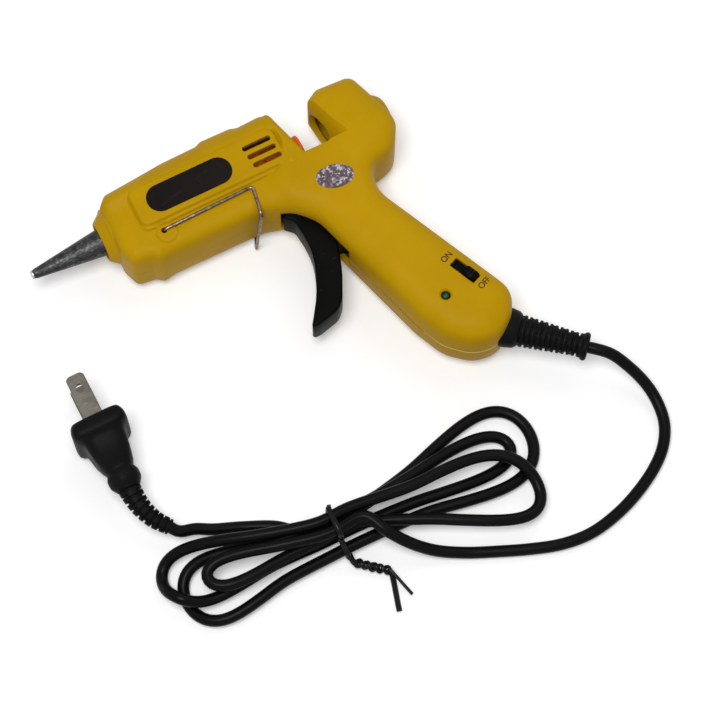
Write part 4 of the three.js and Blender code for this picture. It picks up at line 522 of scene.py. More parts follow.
def turned(profile, place, turn=0.0, sides=48):
    """A form turned about an axis that lies flat, from (along, radius) pairs; a closed profile is a ring."""
    to_place = Matrix.Translation((*place, 0)) @ Matrix.Rotation(turn, 4, "Z")
    places = [
        to_place @ Vector((along, radius * math.cos(a), radius * math.sin(a)))
        for along, radius in profile for a in np.linspace(0, 2 * math.pi, sides, endpoint=False)
    ]
    rings = len(profile)
    faces = [
        (r * sides + k, (r + 1) * sides + k, (r + 1) * sides + (k + 1) % sides, r * sides + (k + 1) % sides)
        for r in range(rings - 1) for k in range(sides)
    ]
    return places, faces


def eased_corners(profile, reach, steps=3):
    """The same profile with its inner corners rounded."""
    made = [profile[0]]
    for a, b, c in zip(profile, profile[1:], profile[2:]):
        a, b, c = Vector(a), Vector(b), Vector(c)
        r = min(reach, (a - b).length * 0.45, (c - b).length * 0.45)
        start, end = b + (a - b).normalized() * r, b + (c - b).normalized() * r
        for i in range(steps + 1):
            t = i / steps
            made.append(tuple(start * (1 - t) ** 2 + b * 2 * t * (1 - t) + end * t * t))
    return made + [profile[-1]]


def stacked(levels):
    """A closed form through loops of equally many points at rising heights."""
    return closed([(x, y, z) for loop, z in levels for x, y in loop], len(levels[0][0]))


def block(x0, x1, y0, y1, z0, z1):
    loop = [(x0, y0), (x1, y0), (x1, y1), (x0, y1)]
    return stacked([(loop, z0), (loop, z1)])


def moved(form, matrix):
    places, faces = form
    return [matrix @ Vector(p) for p in places], faces


def carved(form, steps):
    """A form with others taken from it (-), joined to it (+) or shared with it (*), in millimetres."""
    whole = Matrix.Identity(4)
    blank = bpy.data.objects.new("blank", mesh_of(form, whole))
    tool = bpy.data.objects.new("tool", blank.data)
    for each in (blank, tool):
        bpy.context.scene.collection.objects.link(each)
    for sign, shape in steps:
        tool.data = mesh_of(shape, whole)
        cut = blank.modifiers.new("cut", "BOOLEAN")
        cut.operation = {"-": "DIFFERENCE", "+": "UNION", "*": "INTERSECT"}[sign]
        cut.solver = "MANIFOLD"
        cut.object = tool
        shaped = bpy.data.meshes.new_from_object(blank.evaluated_get(bpy.context.evaluated_depsgraph_get()))
        blank.modifiers.clear()
        blank.data = shaped
    made = [v.co.copy() for v in blank.data.vertices], [tuple(f.vertices) for f in blank.data.polygons]
    bpy.data.objects.remove(blank)
    bpy.data.objects.remove(tool)
    return made


def boot_rib(i):
    """Where a rib's groove begins along the boot, and the rib's radius."""
    radius = BOOT_BODY_RADIUS + (BOOT_TIP_RADIUS - BOOT_BODY_RADIUS) * i / BOOT_RIBS
    return BOOT_FLANGE_LENGTH + i * BOOT_PITCH, radius


def boot_outside():
    start, end, mouth = BOOT_FLANGE_LENGTH, BOOT_LENGTH - BOOT_COLLAR_LENGTH, BOOT_LENGTH
    profile = [
        (-5.4, 0), (-5.4, 4.6), (-3.8, 4.6), (-3.8, 3), (-1.4, 3), (-1.4, BOOT_FLANGE_RADIUS),
        (0.6, BOOT_FLANGE_RADIUS), (start - 1.2, BOOT_FLANGE_RADIUS - 0.5), (start, BOOT_BODY_RADIUS - 0.1),
    ]
    for i in range(BOOT_RIBS):
        x, radius = boot_rib(i)
        rib = x + BOOT_PITCH * (1 - BOOT_RIB_SHARE)
        floor = radius - BOOT_GROOVE
        profile += [(x, floor), (rib, floor), (rib, radius), (x + BOOT_PITCH, radius - 0.1)]
    profile += [
        (end, BOOT_CORE_RADIUS), (end + 0.5, BOOT_CORE_RADIUS), (end + 0.5, BOOT_NECK_RADIUS),
        (mouth - 2.3, BOOT_NECK_RADIUS), (mouth - 1.9, BOOT_COLLAR_RADIUS - 0.3),
        (mouth - 1.1, BOOT_COLLAR_RADIUS), (mouth - 0.3, BOOT_COLLAR_RADIUS - 0.3),
        (mouth, BOOT_COLLAR_RADIUS - 1), (mouth, CORD_RADIUS + 0.05), (mouth - 1.5, CORD_RADIUS - 0.05),
        (mouth - 1.5, 0),
    ]
    return turned(eased_corners(profile, 0.35, 2), BOOT_PLACE, BOOT_TURN)


def boot_bridges():
    to_boot = Matrix.Translation((*BOOT_PLACE, 0)) @ Matrix.Rotation(BOOT_TURN, 4, "Z")
    reach = BOOT_PITCH * (1 - BOOT_RIB_SHARE) + 0.3
    wide = (-BOOT_BRIDGE, BOOT_BRIDGE)
    made = []
    for i in range(BOOT_RIBS + 1):
        x, radius = boot_rib(i)
        for side in (-1, 1):
            deep = sorted((side * (BOOT_CORE_RADIUS - 0.4), side * (radius - BRIDGE_SUNK)))
            across, up = (wide, deep) if i % 2 else (deep, wide)
            made.append(moved(block(x - 0.3, x + reach, *across, *up), to_boot))
    return made


boot_vinyl = moulded_finish("boot_vinyl", grey(0.0035), 0.45, grey(0.006), grey(0.025), grain=0.22,
                            grain_scale=1900.0, sharpness=0.55, scratch=0.002, Specular_IOR_Level=0.05)
boot = piece("cord_boot", carved(boot_outside(), [("+", bridge) for bridge in boot_bridges()]), boot_vinyl,
             slot="black_rubber")
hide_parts("strain_relief")


# Plug: two brass blades, nickel plated and punched with a hole, moulded into one body of black vinyl
# with a flange for the fingers, a pinched waist, a bead and a slotted boot on the cord.
PLUG_FACE = (-32, 37.4, 12)
PLUG_SIDES = 56
# Distance behind the face, width, height and squareness of each section of the body
PLUG_SECTIONS = [
    (0.0, 16.0, 20.2, 7.0), (0.3, 17.3, 21.6, 7.0), (1.0, 18.2, 22.6, 7.0), (2.2, 19.0, 23.6, 7.0),
    (3.2, 19.3, 23.9, 7.0), (4.2, 19.3, 23.9, 7.0), (5.2, 19.0, 23.6, 6.4), (6.0, 17.9, 22.8, 5.4),
    (6.6, 16.3, 21.6, 4.6), (7.4, 15.3, 20.7, 4.0), (9.0, 14.9, 19.8, 3.8), (11.0, 14.5, 18.6, 3.6),
    (13.0, 13.8, 16.9, 3.4), (15.0, 12.4, 14.6, 3.1), (16.6, 10.9, 12.4, 2.8), (17.8, 9.9, 10.9, 2.5),
    (18.6, 9.6, 10.5, 2.3), (19.3, 10.3, 11.0, 2.2), (20.2, 11.1, 11.3, 2.1), (21.4, 11.2, 11.3, 2.0),
    (22.6, 11.0, 11.1, 2.0), (23.6, 10.0, 10.1, 2.0), (24.4, 8.8, 8.9, 2.0), (25.0, 8.0, 8.1, 2.0),
]
BLADE_PITCH, BLADE_WIDTH, BLADE_THICKNESS, BLADE_LENGTH = 12.7, 6.35, 1.5, 16.5
BLADE_ROOT, BLADE_EDGE, BLADE_CORNER = 6, 0.25, 1.7
BLADE_HOLE_RADIUS, BLADE_HOLE_BACK = 1.6, 5.3  # its middle is so far behind the blade's tip
PLUG_BOOT_START, PLUG_BOOT_RADIUS, PLUG_BOOT_TIP = 25.3, 4.0, 2.7  # behind the face; radii at the two ends
PLUG_BOOT_RIBS, PLUG_SLOT_DEPTH = 18, 0.9
SLOT_SHARE, SLOTTED_SHARES, SLOT_OPEN_SHARE = 0.45, (0.06, 0.97), 0.42  # of a rib's pitch, the boot, its radius
PLUG_DISH, PLUG_DISH_AT, PLUG_DISH_REACH = 0.7, 11.5, 4.6  # depth, middle and half length


def squircle(width, height, power, sides):
    def reach(size, share):
        return size / 2 * math.copysign(abs(share) ** (2 / power), share)

    turn = np.linspace(0, 2 * math.pi, sides, endpoint=False)
    return [(reach(width, math.cos(a)), reach(height, math.sin(a))) for a in turn]


def plug_form():
    """The moulded body, its broad sides dished a little behind the flange for finger and thumb."""
    table = np.array(PLUG_SECTIONS)
    depths = [
        depth for a, b in zip(table[:-1, 0], table[1:, 0]) for depth in np.linspace(a, b, 3, endpoint=False)
    ] + [table[-1, 0]]
    levels = []
    for depth in depths:
        width, height, power = (np.interp(depth, table[:, 0], table[:, i]) for i in (1, 2, 3))
        dish = PLUG_DISH * max(0.0, 1 - ((depth - PLUG_DISH_AT) / PLUG_DISH_REACH) ** 2)
        loop = []
        for x, z in squircle(width, height, power, PLUG_SIDES):
            near = max(0.0, 1 - (z / (0.36 * height)) ** 2) * (abs(x) > 0.3 * width)
            loop.append((x - math.copysign(dish * near, x), z))
        levels.append((loop, depth))
    # The sections stand across the cord's run: their height is the plug's depth behind its face
    return moved(stacked(levels), Matrix.Translation(PLUG_FACE) @ Matrix.Rotation(math.pi / 2, 4, "X"))


plug_body = piece("plug_moulding", plug_form(), boot_vinyl, place=ON_TABLE, slot="black_rubber", smooth=40)
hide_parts("plug_body")


def blade_form(z):
    """A flat blade with a rounded tip, a bevelled rim and a punched hole."""
    half, tip, corner = BLADE_WIDTH / 2, BLADE_LENGTH, BLADE_CORNER
    rim = [(-half, -BLADE_ROOT), (half, -BLADE_ROOT)]
    for middle, turn in ((half - corner, 0), (corner - half, math.pi / 2)):
        for a in np.linspace(0, math.pi / 2, 10) + turn:
            rim.append((middle + corner * math.cos(a), tip - corner + corner * math.sin(a)))
    shrunk = [(x * (1 - BLADE_EDGE / half), y - BLADE_EDGE * (y > 0)) for x, y in rim]
    t = BLADE_THICKNESS / 2
    punch = [(x, y + tip - BLADE_HOLE_BACK) for x, y in circle(BLADE_HOLE_RADIUS, 28)]
    bare = stacked([(shrunk, -t), (rim, BLADE_EDGE - t), (rim, t - BLADE_EDGE), (shrunk, t)])
    punched = carved(bare, [("-", stacked([(punch, -2 * t), (punch, 2 * t)]))])
    return moved(punched, Matrix.Translation((PLUG_FACE[0], PLUG_FACE[1], PLUG_FACE[2] + z)))


def metal_finish(name, colour, roughness, shade, pits=0.15, cloud_scale=160.0, tarnish_and_reflection=0.6):
    """Bare or plated metal: pits, darker clouds and hair scratches; the clouds are tarnish, and on the stand's
    wire partly a painted dark reflection.
    """
    made, tree, shader = new_finish(name, colour, roughness, 1.0)
    skin = effect(tree, MOULD_TEXTURE, Grain_Scale=900.0, Cloud_Scale=cloud_scale)
    lines = effect(tree, HAIR_SCRATCHES, Scale=420.0, Width=0.01)["Mask"]
    toned = mixed(tree, worked(tree, "MULTIPLY", skin["Cloud"], tarnish_and_reflection), colour, shade)
    bright = tuple(min(1.0, 1.25 * c) for c in colour)
    marked = worked(tree, "MULTIPLY", lines, 0.3)
    tree.links.new(mixed(tree, marked, toned, bright), shader["Base Color"])
    skinned(tree, shader, skin, roughness - 0.06, roughness + 0.12, pits)
    return made


blade_nickel = metal_finish("blade_nickel", (0.18, 0.168, 0.143), 0.3, (0.05, 0.042, 0.032), pits=0.12,
                            tarnish_and_reflection=0.8)
for side, z in (("lower", -BLADE_PITCH / 2), ("upper", BLADE_PITCH / 2)):
    blade = piece(f"blade_{side}", blade_form(z), blade_nickel, place=ON_TABLE, slot="blade_metal")
    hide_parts(f"plug_blade_{side}")


def plug_boot_form():
    """The slotted boot: a tapering sleeve on the cord with open slots on alternate sides."""
    start = Vector((PLUG_FACE[0], PLUG_FACE[1] - PLUG_BOOT_START, PLUG_FACE[2]))
    line = eased([start + Vector((0, 2, 0)), start] + PLUG_BOOT_ROUTE, 0.2)
    sections = []
    for i in range(len(line)):
        share = i / (len(line) - 1)
        radius = PLUG_BOOT_RADIUS + (PLUG_BOOT_TIP - PLUG_BOOT_RADIUS) * share
        lane, phase = divmod(share * PLUG_BOOT_RIBS, 1)
        slotted = SLOTTED_SHARES[0] < share < SLOTTED_SHARES[1] and phase < SLOT_SHARE
        ring = []
        for x, y in circle(1, 32):
            open_side = abs(x if lane % 2 else y) > SLOT_OPEN_SHARE
            r = max(radius - PLUG_SLOT_DEPTH * (slotted and open_side), CORD_RADIUS + 0.12)
            ring.append((r * x, r * y))
        sections.append(ring)
    return swept(line, sections)


plug_boot = piece("plug_boot", plug_boot_form(), boot_vinyl, place=ON_TABLE, slot="black_rubber", smooth=40)
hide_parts("plug_relief")

cord_row = [tuple(ON_TABLE @ point) for point in cord_line]
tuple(cord_row[0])


# Casing: two halves of yellow ABS, moulded with their ribs, posts and bosses, that meet on the middle plane.
# The barrel's side is lower than the handle's and carries a raised panel; the butt and the rear ring are
# rounded for the hand, and the openings for screws, switch and lamp are bevelled.
BODY_SIZE = 110  # length and height, of which the places below are shares
HALF_THICKNESS = 14
WALL = 2
SEAM = 0.06
BARREL_DROP = 1.8
GAP_FLOOR_SHARE = 0.7955  # height of the stick gap's floor
UPPER_EASE = 0.72  # how much of that drop is missing just above the panel
UPPER_FALL = 1.9  # and how far the side falls from there to the barrel's top
# Round the body from the barrel's lower front corner: x, y and fillet shares, and how wide its edge is rounded
BODY_EDGE = [
    (0.017, 0.71, 0.027, 4.5), (0.075, 0.703, 0.014, 4), (0.098, 0.684, 0.018, 4.5), (0.142, 0.69, 0.036, 5),
    (0.441, 0.687, 0.109, 5), (0.53, 0.654, 0.109, 8), (0.585, 0.593, 0.127, 9), (0.702, 0.177, 0.182, 9),
    (0.745, 0.075, 0.127, 9), (0.818, 0.009, 0.109, 9), (0.9, 0, 0.109, 9), (0.964, 0.05, 0.091, 9),
    (1, 0.121, 0.109, 9), (0.793, 0.591, 0.127, 9), (0.806, 0.673, 0.05, 8), (0.9, 0.692, 0.082, 8),
    (0.948, 0.772, 0.064, 8), (0.946, 0.812, 0.064, 8), (0.897, 0.985, 0.041, 8), (0.77, 0.987, 0.04, 6),
    (0.7295, 0.955, 0.02, 3), (0.7285, 0.87, 0, 1.2), (0.729, GAP_FLOOR_SHARE, 0.008, 1),
    (0.643, GAP_FLOOR_SHARE, 0.008, 1),
    (0.602, 0.985, 0.042, 5), (0.5, 0.986, 0.018, 7), (0.477, 0.994, 0.018, 7), (0.377, 0.996, 0.018, 7),
    (0.355, 0.987, 0.018, 7), (0.236, 0.987, 0.182, 8), (0.033, 0.962, 0.023, 6), (0.003, 0.922, 0.035, 4),
    (0, 0.764, 0.045, 4),
]
# The lowered side: x, y and fillet shares, and how gently its edge runs up to the handle's side
LOWERED_EDGE = [
    (-0.045, 0.545, 0, 6), (0.482, 0.545, 0, 8), (0.522, 0.691, 0.05, 8), (0.515, 0.762, 0.03, 6),
    (0.57, 0.815, 0.03, 3), (0.592, 0.86, 0.02, 2), (0.592, 1.045, 0, 2), (-0.045, 1.045, 0, 1),
]
PANEL_EDGE = [
    (0.097, 0.791, 0.024, 0), (0.584, 0.791, 0.02, 0), (0.584, 0.92, 0.03, 0), (0.097, 0.92, 0.02, 0),
]
# Outward from the panel's edge: its bevel down to the barrel's side, and the ledge at its lower edge
PANEL_BEVEL = [(-0.5, 14), (-0.2, 13.9), (0.1, 13.55), (0.5, 12.9), (0.8, 12.5), (1, 12.3), (1.3, 12.2)]
PANEL_LEDGE = [(-0.3, 14), (-0.1, 13.9), (0.3, 13.2), (0.5, 13.05), (1.2, 12.95), (1.4, 12.7), (1.7, 12.2)]
EASE_FROM, EASE_OVER, FALL_FROM, FALL_OVER = 97.5, 4, 101.2, 7  # heights, and the lengths of the changes
BOSS_PLACE, BOSS_RISE = (16.8, 82.6), 0.32
# Heights of the boss at the stand's pivot and of the groove round it, from its middle outward
BOSS_PROFILE = [(0, BOSS_RISE), (3, BOSS_RISE), (3.4, 0.2), (3.8, -0.16), (4.1, -0.18), (4.6, 0)]
LEDGE_ABOVE, LEDGE_OVER = 1.2, 1.6  # from the panel's lowest place, where the ledge takes over from the bevel
EDGE_RISE, EDGE_RISE_SHARE = 2.2, 0.45  # a wide edge falls less than it is wide
RING_LEAN, LEAN_FROM, LEAN_OVER, LEAN_BACK, LEAN_BACK_OVER = 2.2, 84, 24, 72, 8
# A shallow groove beside the panel, towards its back end
PANEL_GROOVE, GROOVE_OUT, GROOVE_HALF, GROOVE_FROM, GROOVE_OVER = 0.16, 0.5, 0.4, 58, 3
# A faint step that slants down from the panel, before the trigger
STEP_PLACE, STEP_AHEAD, STEP_RISE, STEP_LENGTH, STEP_TOP = (45.2, 78.7), (0.885, -0.466), 0.22, 6.5, 84
STEP_EDGE, STEP_FADE, STEP_TOP_FADE = 0.5, 5, 3
ENTRY_DROP = 1.6  # how far the rear entry's middle lies under the stick's
AXIS_HEIGHT = 94.27
BLOCK_BACK, RING_FRONT, RING_BACK = 70.7, 80.15, 103.07
NOSE_DEPTHS = (13, 0.6)  # how far back the ring's front is rounded at the gap's floor and at its top
# Along the axis and outward: the nozzle's collar, the lip round the stick's entry, the ring's front mouth and
# the entry's own; all but the collar are counted from the ring's nearer face
COLLAR_PROFILE = [
    (2.5, 6.2), (-3.3, 6.2), (-3.3, 7), (-2.6, 7.6), (-0.9, 8.9), (-0.2, 9.5), (0.3, 10.4), (2.5, 10.4),
    (2.5, 6.2),
]
ENTRY_PROFILE = [
    (-5, 4.3), (-8, 9.6), (-4.5, 9.4), (-2.4, 9), (-0.8, 8.3), (0.5, 7.4), (1.4, 6.4), (1.8, 5.5), (1.8, 4.3),
    (-5, 4.3),
]
RING_MOUTH = [(-1.6, 0), (-1.6, 10.6), (-0.1, 9.7), (0.5, 9.1), (1.1, 8.7), (1.9, 8.5), (6.5, 8.4), (6.5, 0)]
ENTRY_MOUTH = [(-6, 0), (-6, 4.4), (1, 4.4), (1.8, 5.2), (3, 6.4), (3, 0)]
NOZZLE_BORE, SLEEVE_BORE, CHAMBER_BORE, CORD_BORE = 6.2, 5.35, 6.6, 3.3
TRIGGER_SLOT_HALF, PIN_HOLE_TOP, STAND_HOLE_FOOT = 6.4, 12, 6
SLIT_SHARES, SLIT_WIDTH, SLIT_DEPTH = ((0.622, 0.459), (0.715, 0.145)), 1.2, 2.8
SLOT_EDGE = [
    (0.4935, 0.709), (0.4935, 0.627), (0.518, 0.6), (0.523, 0.5), (0.61, 0.459), (0.645, 0.459), (0.645, 0.709),
]
VENTS, VENT_SIZE = [(57.31, 97.24), (57.64, 93.72), (58.08, 90.2)], (10.8, 2.15)
VENT_LIP = 0.12  # by which a vent narrows at its mouth
TRIGGER_PIVOT, TRIGGER_PIN_RADIUS = (70.95, 57.97), 1.6
STAND_PIVOT, STAND_HOLE_RADIUS = (16.17, 83.49), 1.05
SCREWS = [(46.97, 105.27), (11.55, 79.86), (94.27, 103.95), (83.05, 44), (86.46, 9.9)]
POST_RADIUS, POST_HOLE_RADIUS, POST_HOLE_TOP, HEAD_HOLE_RADIUS, HEAD_SEAT = 3.2, 1.6, 7.3, 2.5, 8.9
TRIGGER_BOSS, TRIGGER_BOSS_FOOT = 2.8, 6.4  # radius and height of what carries a pin inside the casing
STAND_BOSS, STAND_BOSS_FOOT = 2.4, 7.2
OVERRUN = 1  # of a cutter past what it cuts
BEYOND_TOP, BEYOND_SIDE = 112, 15.5  # past the casing's height and its half thickness
RIB_THICKNESS, RIB_TOP = 1.6, 15  # the ribs run up into the wall
CHAMBER_RIBS, CHAMBER_RIB_FOOT = (8.03, 37.95), AXIS_HEIGHT - 13.3
FEED_RIBS = [(58.35, 59.95, 79.15, 86.95, SEAM), (84.7, 97.35, 79.31, 80.91, 2.8)]  # x, y and lower z of each
SWITCH_PLACE, SWITCH_TURN, WINDOW_SIZE = (98.23, 24.53), math.radians(113.7), (10.2, 3.9)
LAMP_PLACE, LAMP_HOLE_RADIUS, LAMP_HOLE_MOUTH, LAMP_HOLE_BEVEL = (88.44, 19.69), 1.65, 13.9, 0.5
UNDER_WALL, WINDOW_BEVEL, HEAD_HOLE_BEVEL = 9, 0.2, 0.25
GRID, GRID_APART, ROW_APART, RING_APART, EDGE_APART = 1.15, 0.713, 0.17, 0.3, 0.35  # between a side's places
VALUE_BLEND = 1.2  # how softly one corner's value gives way to the next


def around(edge):
    """An edge table in millimetres; what it says after x, y and fillet stays as it is."""
    return [(*(share * BODY_SIZE for share in row[:3]), *row[3:]) for row in edge]


def rounded(corners, inset=0.0, fine=9.0, step=0.9):
    """The loop of filleted corners, moved inward, as rows of x, y and the corners' own value."""
    at = np.array([c[:2] for c in corners], float)
    value = np.array([c[3] if len(c) > 3 else 0.0 for c in corners], float)

    def sides(places):
        ahead = np.roll(places, -1, 0) - places
        length = np.hypot(*ahead.T)
        return ahead / length[:, None], length

    ahead, _ = sides(at)
    behind = np.roll(ahead, 1, 0)
    turn = np.arctan2(behind[:, 0] * ahead[:, 1] - behind[:, 1] * ahead[:, 0], (behind * ahead).sum(1))
    both = behind + ahead
    at = at + np.stack([-both[:, 1], both[:, 0]], 1) * (inset / (1 + (behind * ahead).sum(1)))[:, None]
    _, length = sides(at)
    room = np.minimum(length, np.roll(length, 1))
    loop = []
    for i, corner in enumerate(corners):
        if not corner[2]:
            loop.append((*at[i], value[i]))
            continue
        slope = math.tan(abs(turn[i]) / 2)
        radius = min(max(corner[2] - inset * np.sign(turn[i]), 0.2), 0.49 * room[i] / slope)
        start = at[i] - behind[i] * radius * slope
        across = np.sign(turn[i]) * radius * np.array([-behind[i][1], behind[i][0]])
        steps = max(1, round(abs(math.degrees(turn[i])) / fine))
        for a in np.linspace(0, turn[i], steps + 1):
            spoke = np.array([across[0] * math.cos(a) - across[1] * math.sin(a),
                              across[0] * math.sin(a) + across[1] * math.cos(a)])
            loop.append((*(start + across - spoke), value[i]))
    dense = []
    for a, b in zip(loop, loop[1:] + loop[:1]):
        a, b = np.array(a), np.array(b)
        pieces = max(1, math.ceil(np.hypot(*(b - a)[:2]) / step))
        dense += [a + (b - a) * k / pieces for k in range(pieces)]
    return np.array(dense)


def inward_from(loop):
    """The directions that point into a closed loop."""
    run = np.roll(loop[:, :2], -1, 0) - np.roll(loop[:, :2], 1, 0)
    return np.stack([-run[:, 1], run[:, 0]], 1) / np.hypot(*run.T)[:, None]


def depth_inside(points, loop):
    """How far places lie inside a loop, and the loop's own value at the nearest place on it, blended."""
    start = loop[:, :2]
    run = np.roll(start, -1, 0) - start
    length = np.hypot(*run.T)
    next_y = start[:, 1] + run[:, 1]
    depth, value = [], []
    for some in np.array_split(points, len(points) // 1500 + 1):
        rel = some[:, None] - start[None]
        share = np.clip((rel * run).sum(2) / length**2, 0, 1)
        off = rel - share[..., None] * run
        gap = np.hypot(off[..., 0], off[..., 1])
        above = (start[:, 1] > some[:, 1:2]) != (next_y > some[:, 1:2])
        with np.errstate(divide="ignore", invalid="ignore"):
            crossing = start[:, 0] + run[:, 0] * (some[:, 1:2] - start[:, 1]) / run[:, 1]
        odd = (above & (some[:, :1] < crossing)).sum(1) % 2
        least = gap.min(1)
        weight = np.exp((least[:, None] - gap) / VALUE_BLEND) * length
        value.append((weight * loop[:, 2]).sum(1) / weight.sum(1))
        depth.append(np.where(odd == 1, least, -least))
    return np.concatenate(depth), np.concatenate(value)


def smooth_step(x):
    x = np.clip(x, 0, 1)
    return x * x * (3 - 2 * x)


BODY_LOOP = rounded(around(BODY_EDGE))
LOWERED_LOOP = rounded(around(LOWERED_EDGE))
PANEL_LOOP = rounded(around(PANEL_EDGE))


def side_height(points):
    """How far the casing's side stands from the middle plane at places, openings apart."""
    points = np.atleast_2d(np.array(points, float))
    x, y = points.T
    sunk, soft = depth_inside(points, LOWERED_LOOP)
    above, down = smooth_step((y - EASE_FROM) / EASE_OVER), smooth_step((y - FALL_FROM) / FALL_OVER)
    drop = BARREL_DROP * (1 - UPPER_EASE * above) + UPPER_FALL * down
    level = HALF_THICKNESS - drop * smooth_step(sunk / soft + 0.5)
    lean = RING_LEAN * np.clip((y - LEAN_FROM) / LEAN_OVER, 0, 1) ** 1.5
    level -= lean * smooth_step((x - LEAN_BACK) / LEAN_BACK_OVER)
    out, _ = depth_inside(points, PANEL_LOOP)
    bevel, ledge = (np.interp(-out, *zip(*steps)) for steps in (PANEL_BEVEL, PANEL_LEDGE))
    under = smooth_step((PANEL_LOOP[:, 1].min() + LEDGE_ABOVE - y) / LEDGE_OVER)
    level = np.maximum(level, np.where(-out < PANEL_LEDGE[-1][0], bevel + (ledge - bevel) * under, 0))
    groove = PANEL_GROOVE * np.exp(-(((out + GROOVE_OUT) / GROOVE_HALF) ** 2))
    level -= groove * smooth_step((x - GROOVE_FROM) / GROOVE_OVER)
    off = np.hypot(x - BOSS_PLACE[0], y - BOSS_PLACE[1])
    level += np.interp(off, *zip(*BOSS_PROFILE))
    past = (x - STEP_PLACE[0]) * STEP_AHEAD[0] + (y - STEP_PLACE[1]) * STEP_AHEAD[1]
    step = smooth_step(past / STEP_EDGE) * smooth_step((STEP_LENGTH - past) / STEP_FADE)
    level += STEP_RISE * step * smooth_step((STEP_TOP - y) / STEP_TOP_FADE)
    depth, width = depth_inside(points, BODY_LOOP)
    rise = np.minimum(width, EDGE_RISE + EDGE_RISE_SHARE * width)
    share = 1 - np.clip(depth / width, 0, 1)
    return level - rise * (1 - np.sqrt(np.clip(1 - share**2, 0, 1)))


def thinned(groups):
    """Places in order of rank, without those that lie too near one already kept."""
    kept, cells = [], {}
    for places, reach in groups:
        span = math.ceil(reach / 0.5)
        for px, py in places:
            i, j = int(px // 0.5), int(py // 0.5)
            near = any(
                (px - qx) ** 2 + (py - qy) ** 2 < reach * reach
                for a in range(i - span, i + span + 1) for b in range(j - span, j + span + 1)
                for qx, qy in cells.get((a, b), ())
            )
            if near:
                continue
            cells.setdefault((i, j), []).append((px, py))
            kept.append((px, py))
    return kept


def half_form(inset=0.0, foot=SEAM):
    """A half of the casing as if it were solid: its side over an outline, the wall under it and a flat foot."""
    loop = rounded(around(BODY_EDGE), inset)
    n = len(loop)
    inward = inward_from(loop)
    rings = []
    for degrees in (14, 26, 38, 50, 62, 75, 90):
        reach = loop[:, 2] * (1 - math.cos(math.radians(degrees))) - inset
        ring = loop[:, :2] + inward * reach[:, None]
        depth, _ = depth_inside(ring, loop)
        rings.append((ring[(reach > 0.1) & (depth > 0.97 * reach)], RING_APART))
    edge = rounded(around(LOWERED_EDGE), step=1.0)
    rows = [
        rounded(around(PANEL_EDGE), -out, step=0.6)[:, :2]
        for out in (-0.5, -0.2, 0.1, 0.3, 0.5, 0.8, 1, 1.2, 1.4, 1.7, 2)
    ]
    for share in (-0.5, -0.3, -0.1, 0.1, 0.3, 0.5):
        rows.append(edge[:, :2] + inward_from(edge) * (share * edge[:, 2:3]))
    rows += [np.array(circle(radius, 44)) + BOSS_PLACE for radius in (3, 3.2, 3.4, 3.6, 3.8, 4.1, 4.6)]
    row = np.concatenate(rows)
    x, y = np.meshgrid(np.arange(0, 111, GRID), np.arange(0, 111, GRID))
    grid = np.stack([x.ravel() + 0.5 * GRID * (np.arange(x.size) // x.shape[1] % 2), y.ravel()], 1)
    inside = [places[depth_inside(places, loop)[0] > EDGE_APART] for places in (row, grid)]
    places = thinned([(loop[:, :2], 0), (inside[0], ROW_APART), *rings, (inside[1], GRID_APART)])
    places, _, faces, *_ = geometry.delaunay_2d_cdt([Vector(p) for p in places], [], [tuple(range(n))], 1, 1e-5)
    flat = np.array([tuple(p) for p in places])
    top = side_height(flat) - inset
    corners = [(*p, z) for p, z in zip(flat, top)]
    foot_start = len(corners)
    corners += [(*p[:2], foot) for p in loop]
    ring = list(range(n))
    faces = [tuple(face) for face in faces]
    faces += [(i, (i + 1) % n, foot_start + (i + 1) % n, foot_start + i) for i in ring]
    return corners, faces + [tuple(foot_start + i for i in ring)]


def hole(loop_at, low, surface, bevel):
    """A cutter for an opening with a bevelled mouth; loop_at(inset) gives its outline."""
    plain, wide = loop_at(0), loop_at(-bevel - OVERRUN)
    return stacked([(plain, low), (plain, surface - bevel), (wide, surface + OVERRUN)])


def oblong(place, length, width, turn, corner, shift=0.0, fine=22, step=99):
    """A rounded rectangle turned about its place, and moved along its length."""
    c, t = math.cos(turn), math.sin(turn)

    def loop_at(inset):
        x, y, r = length / 2 - inset, width / 2 - inset, max(0.1, corner - inset)
        loop = rounded([(-x, -y, r), (x, -y, r), (x, y, r), (-x, y, r)], fine=fine, step=step)
        return [(place[0] + (a + shift) * c - b * t, place[1] + (a + shift) * t + b * c) for a, b, _ in loop]

    return loop_at


def ring_at(place, radius, sides=32):
    return [(place[0] + x, place[1] + y) for x, y in circle(radius, sides)]


def rod(radius, place, low, high, sides=32):
    loop = ring_at(place, radius, sides)
    return stacked([(loop, low), (loop, high)])


def drilled(radius, place, low, surface, bevel):
    return hole(lambda inset: ring_at(place, radius - inset), low, surface, bevel)


def bore(start, end, radius, place=(0, AXIS_HEIGHT), turn=0.0):
    return turned([(start, 0), (start, radius), (end, radius), (end, 0)], place, turn)


def inner_ribs():
    """What the mould leaves standing inside: screw posts, pivot bosses, and ribs that hold the chamber."""
    made = [rod(POST_RADIUS, place, SEAM, RIB_TOP) for place in SCREWS]
    made.append(rod(TRIGGER_BOSS, TRIGGER_PIVOT, TRIGGER_BOSS_FOOT, RIB_TOP))
    made.append(rod(STAND_BOSS, STAND_PIVOT, STAND_BOSS_FOOT, RIB_TOP))
    for x in CHAMBER_RIBS:
        rib = block(x, x + RIB_THICKNESS, CHAMBER_RIB_FOOT, BEYOND_TOP, SEAM, RIB_TOP)
        made.append(carved(rib, [("-", bore(x - OVERRUN, x + RIB_THICKNESS + OVERRUN, CHAMBER_BORE))]))
    for x0, x1, y0, y1, z0 in FEED_RIBS:
        made.append(block(x0, x1, y0, y1, z0, RIB_TOP))
    return made


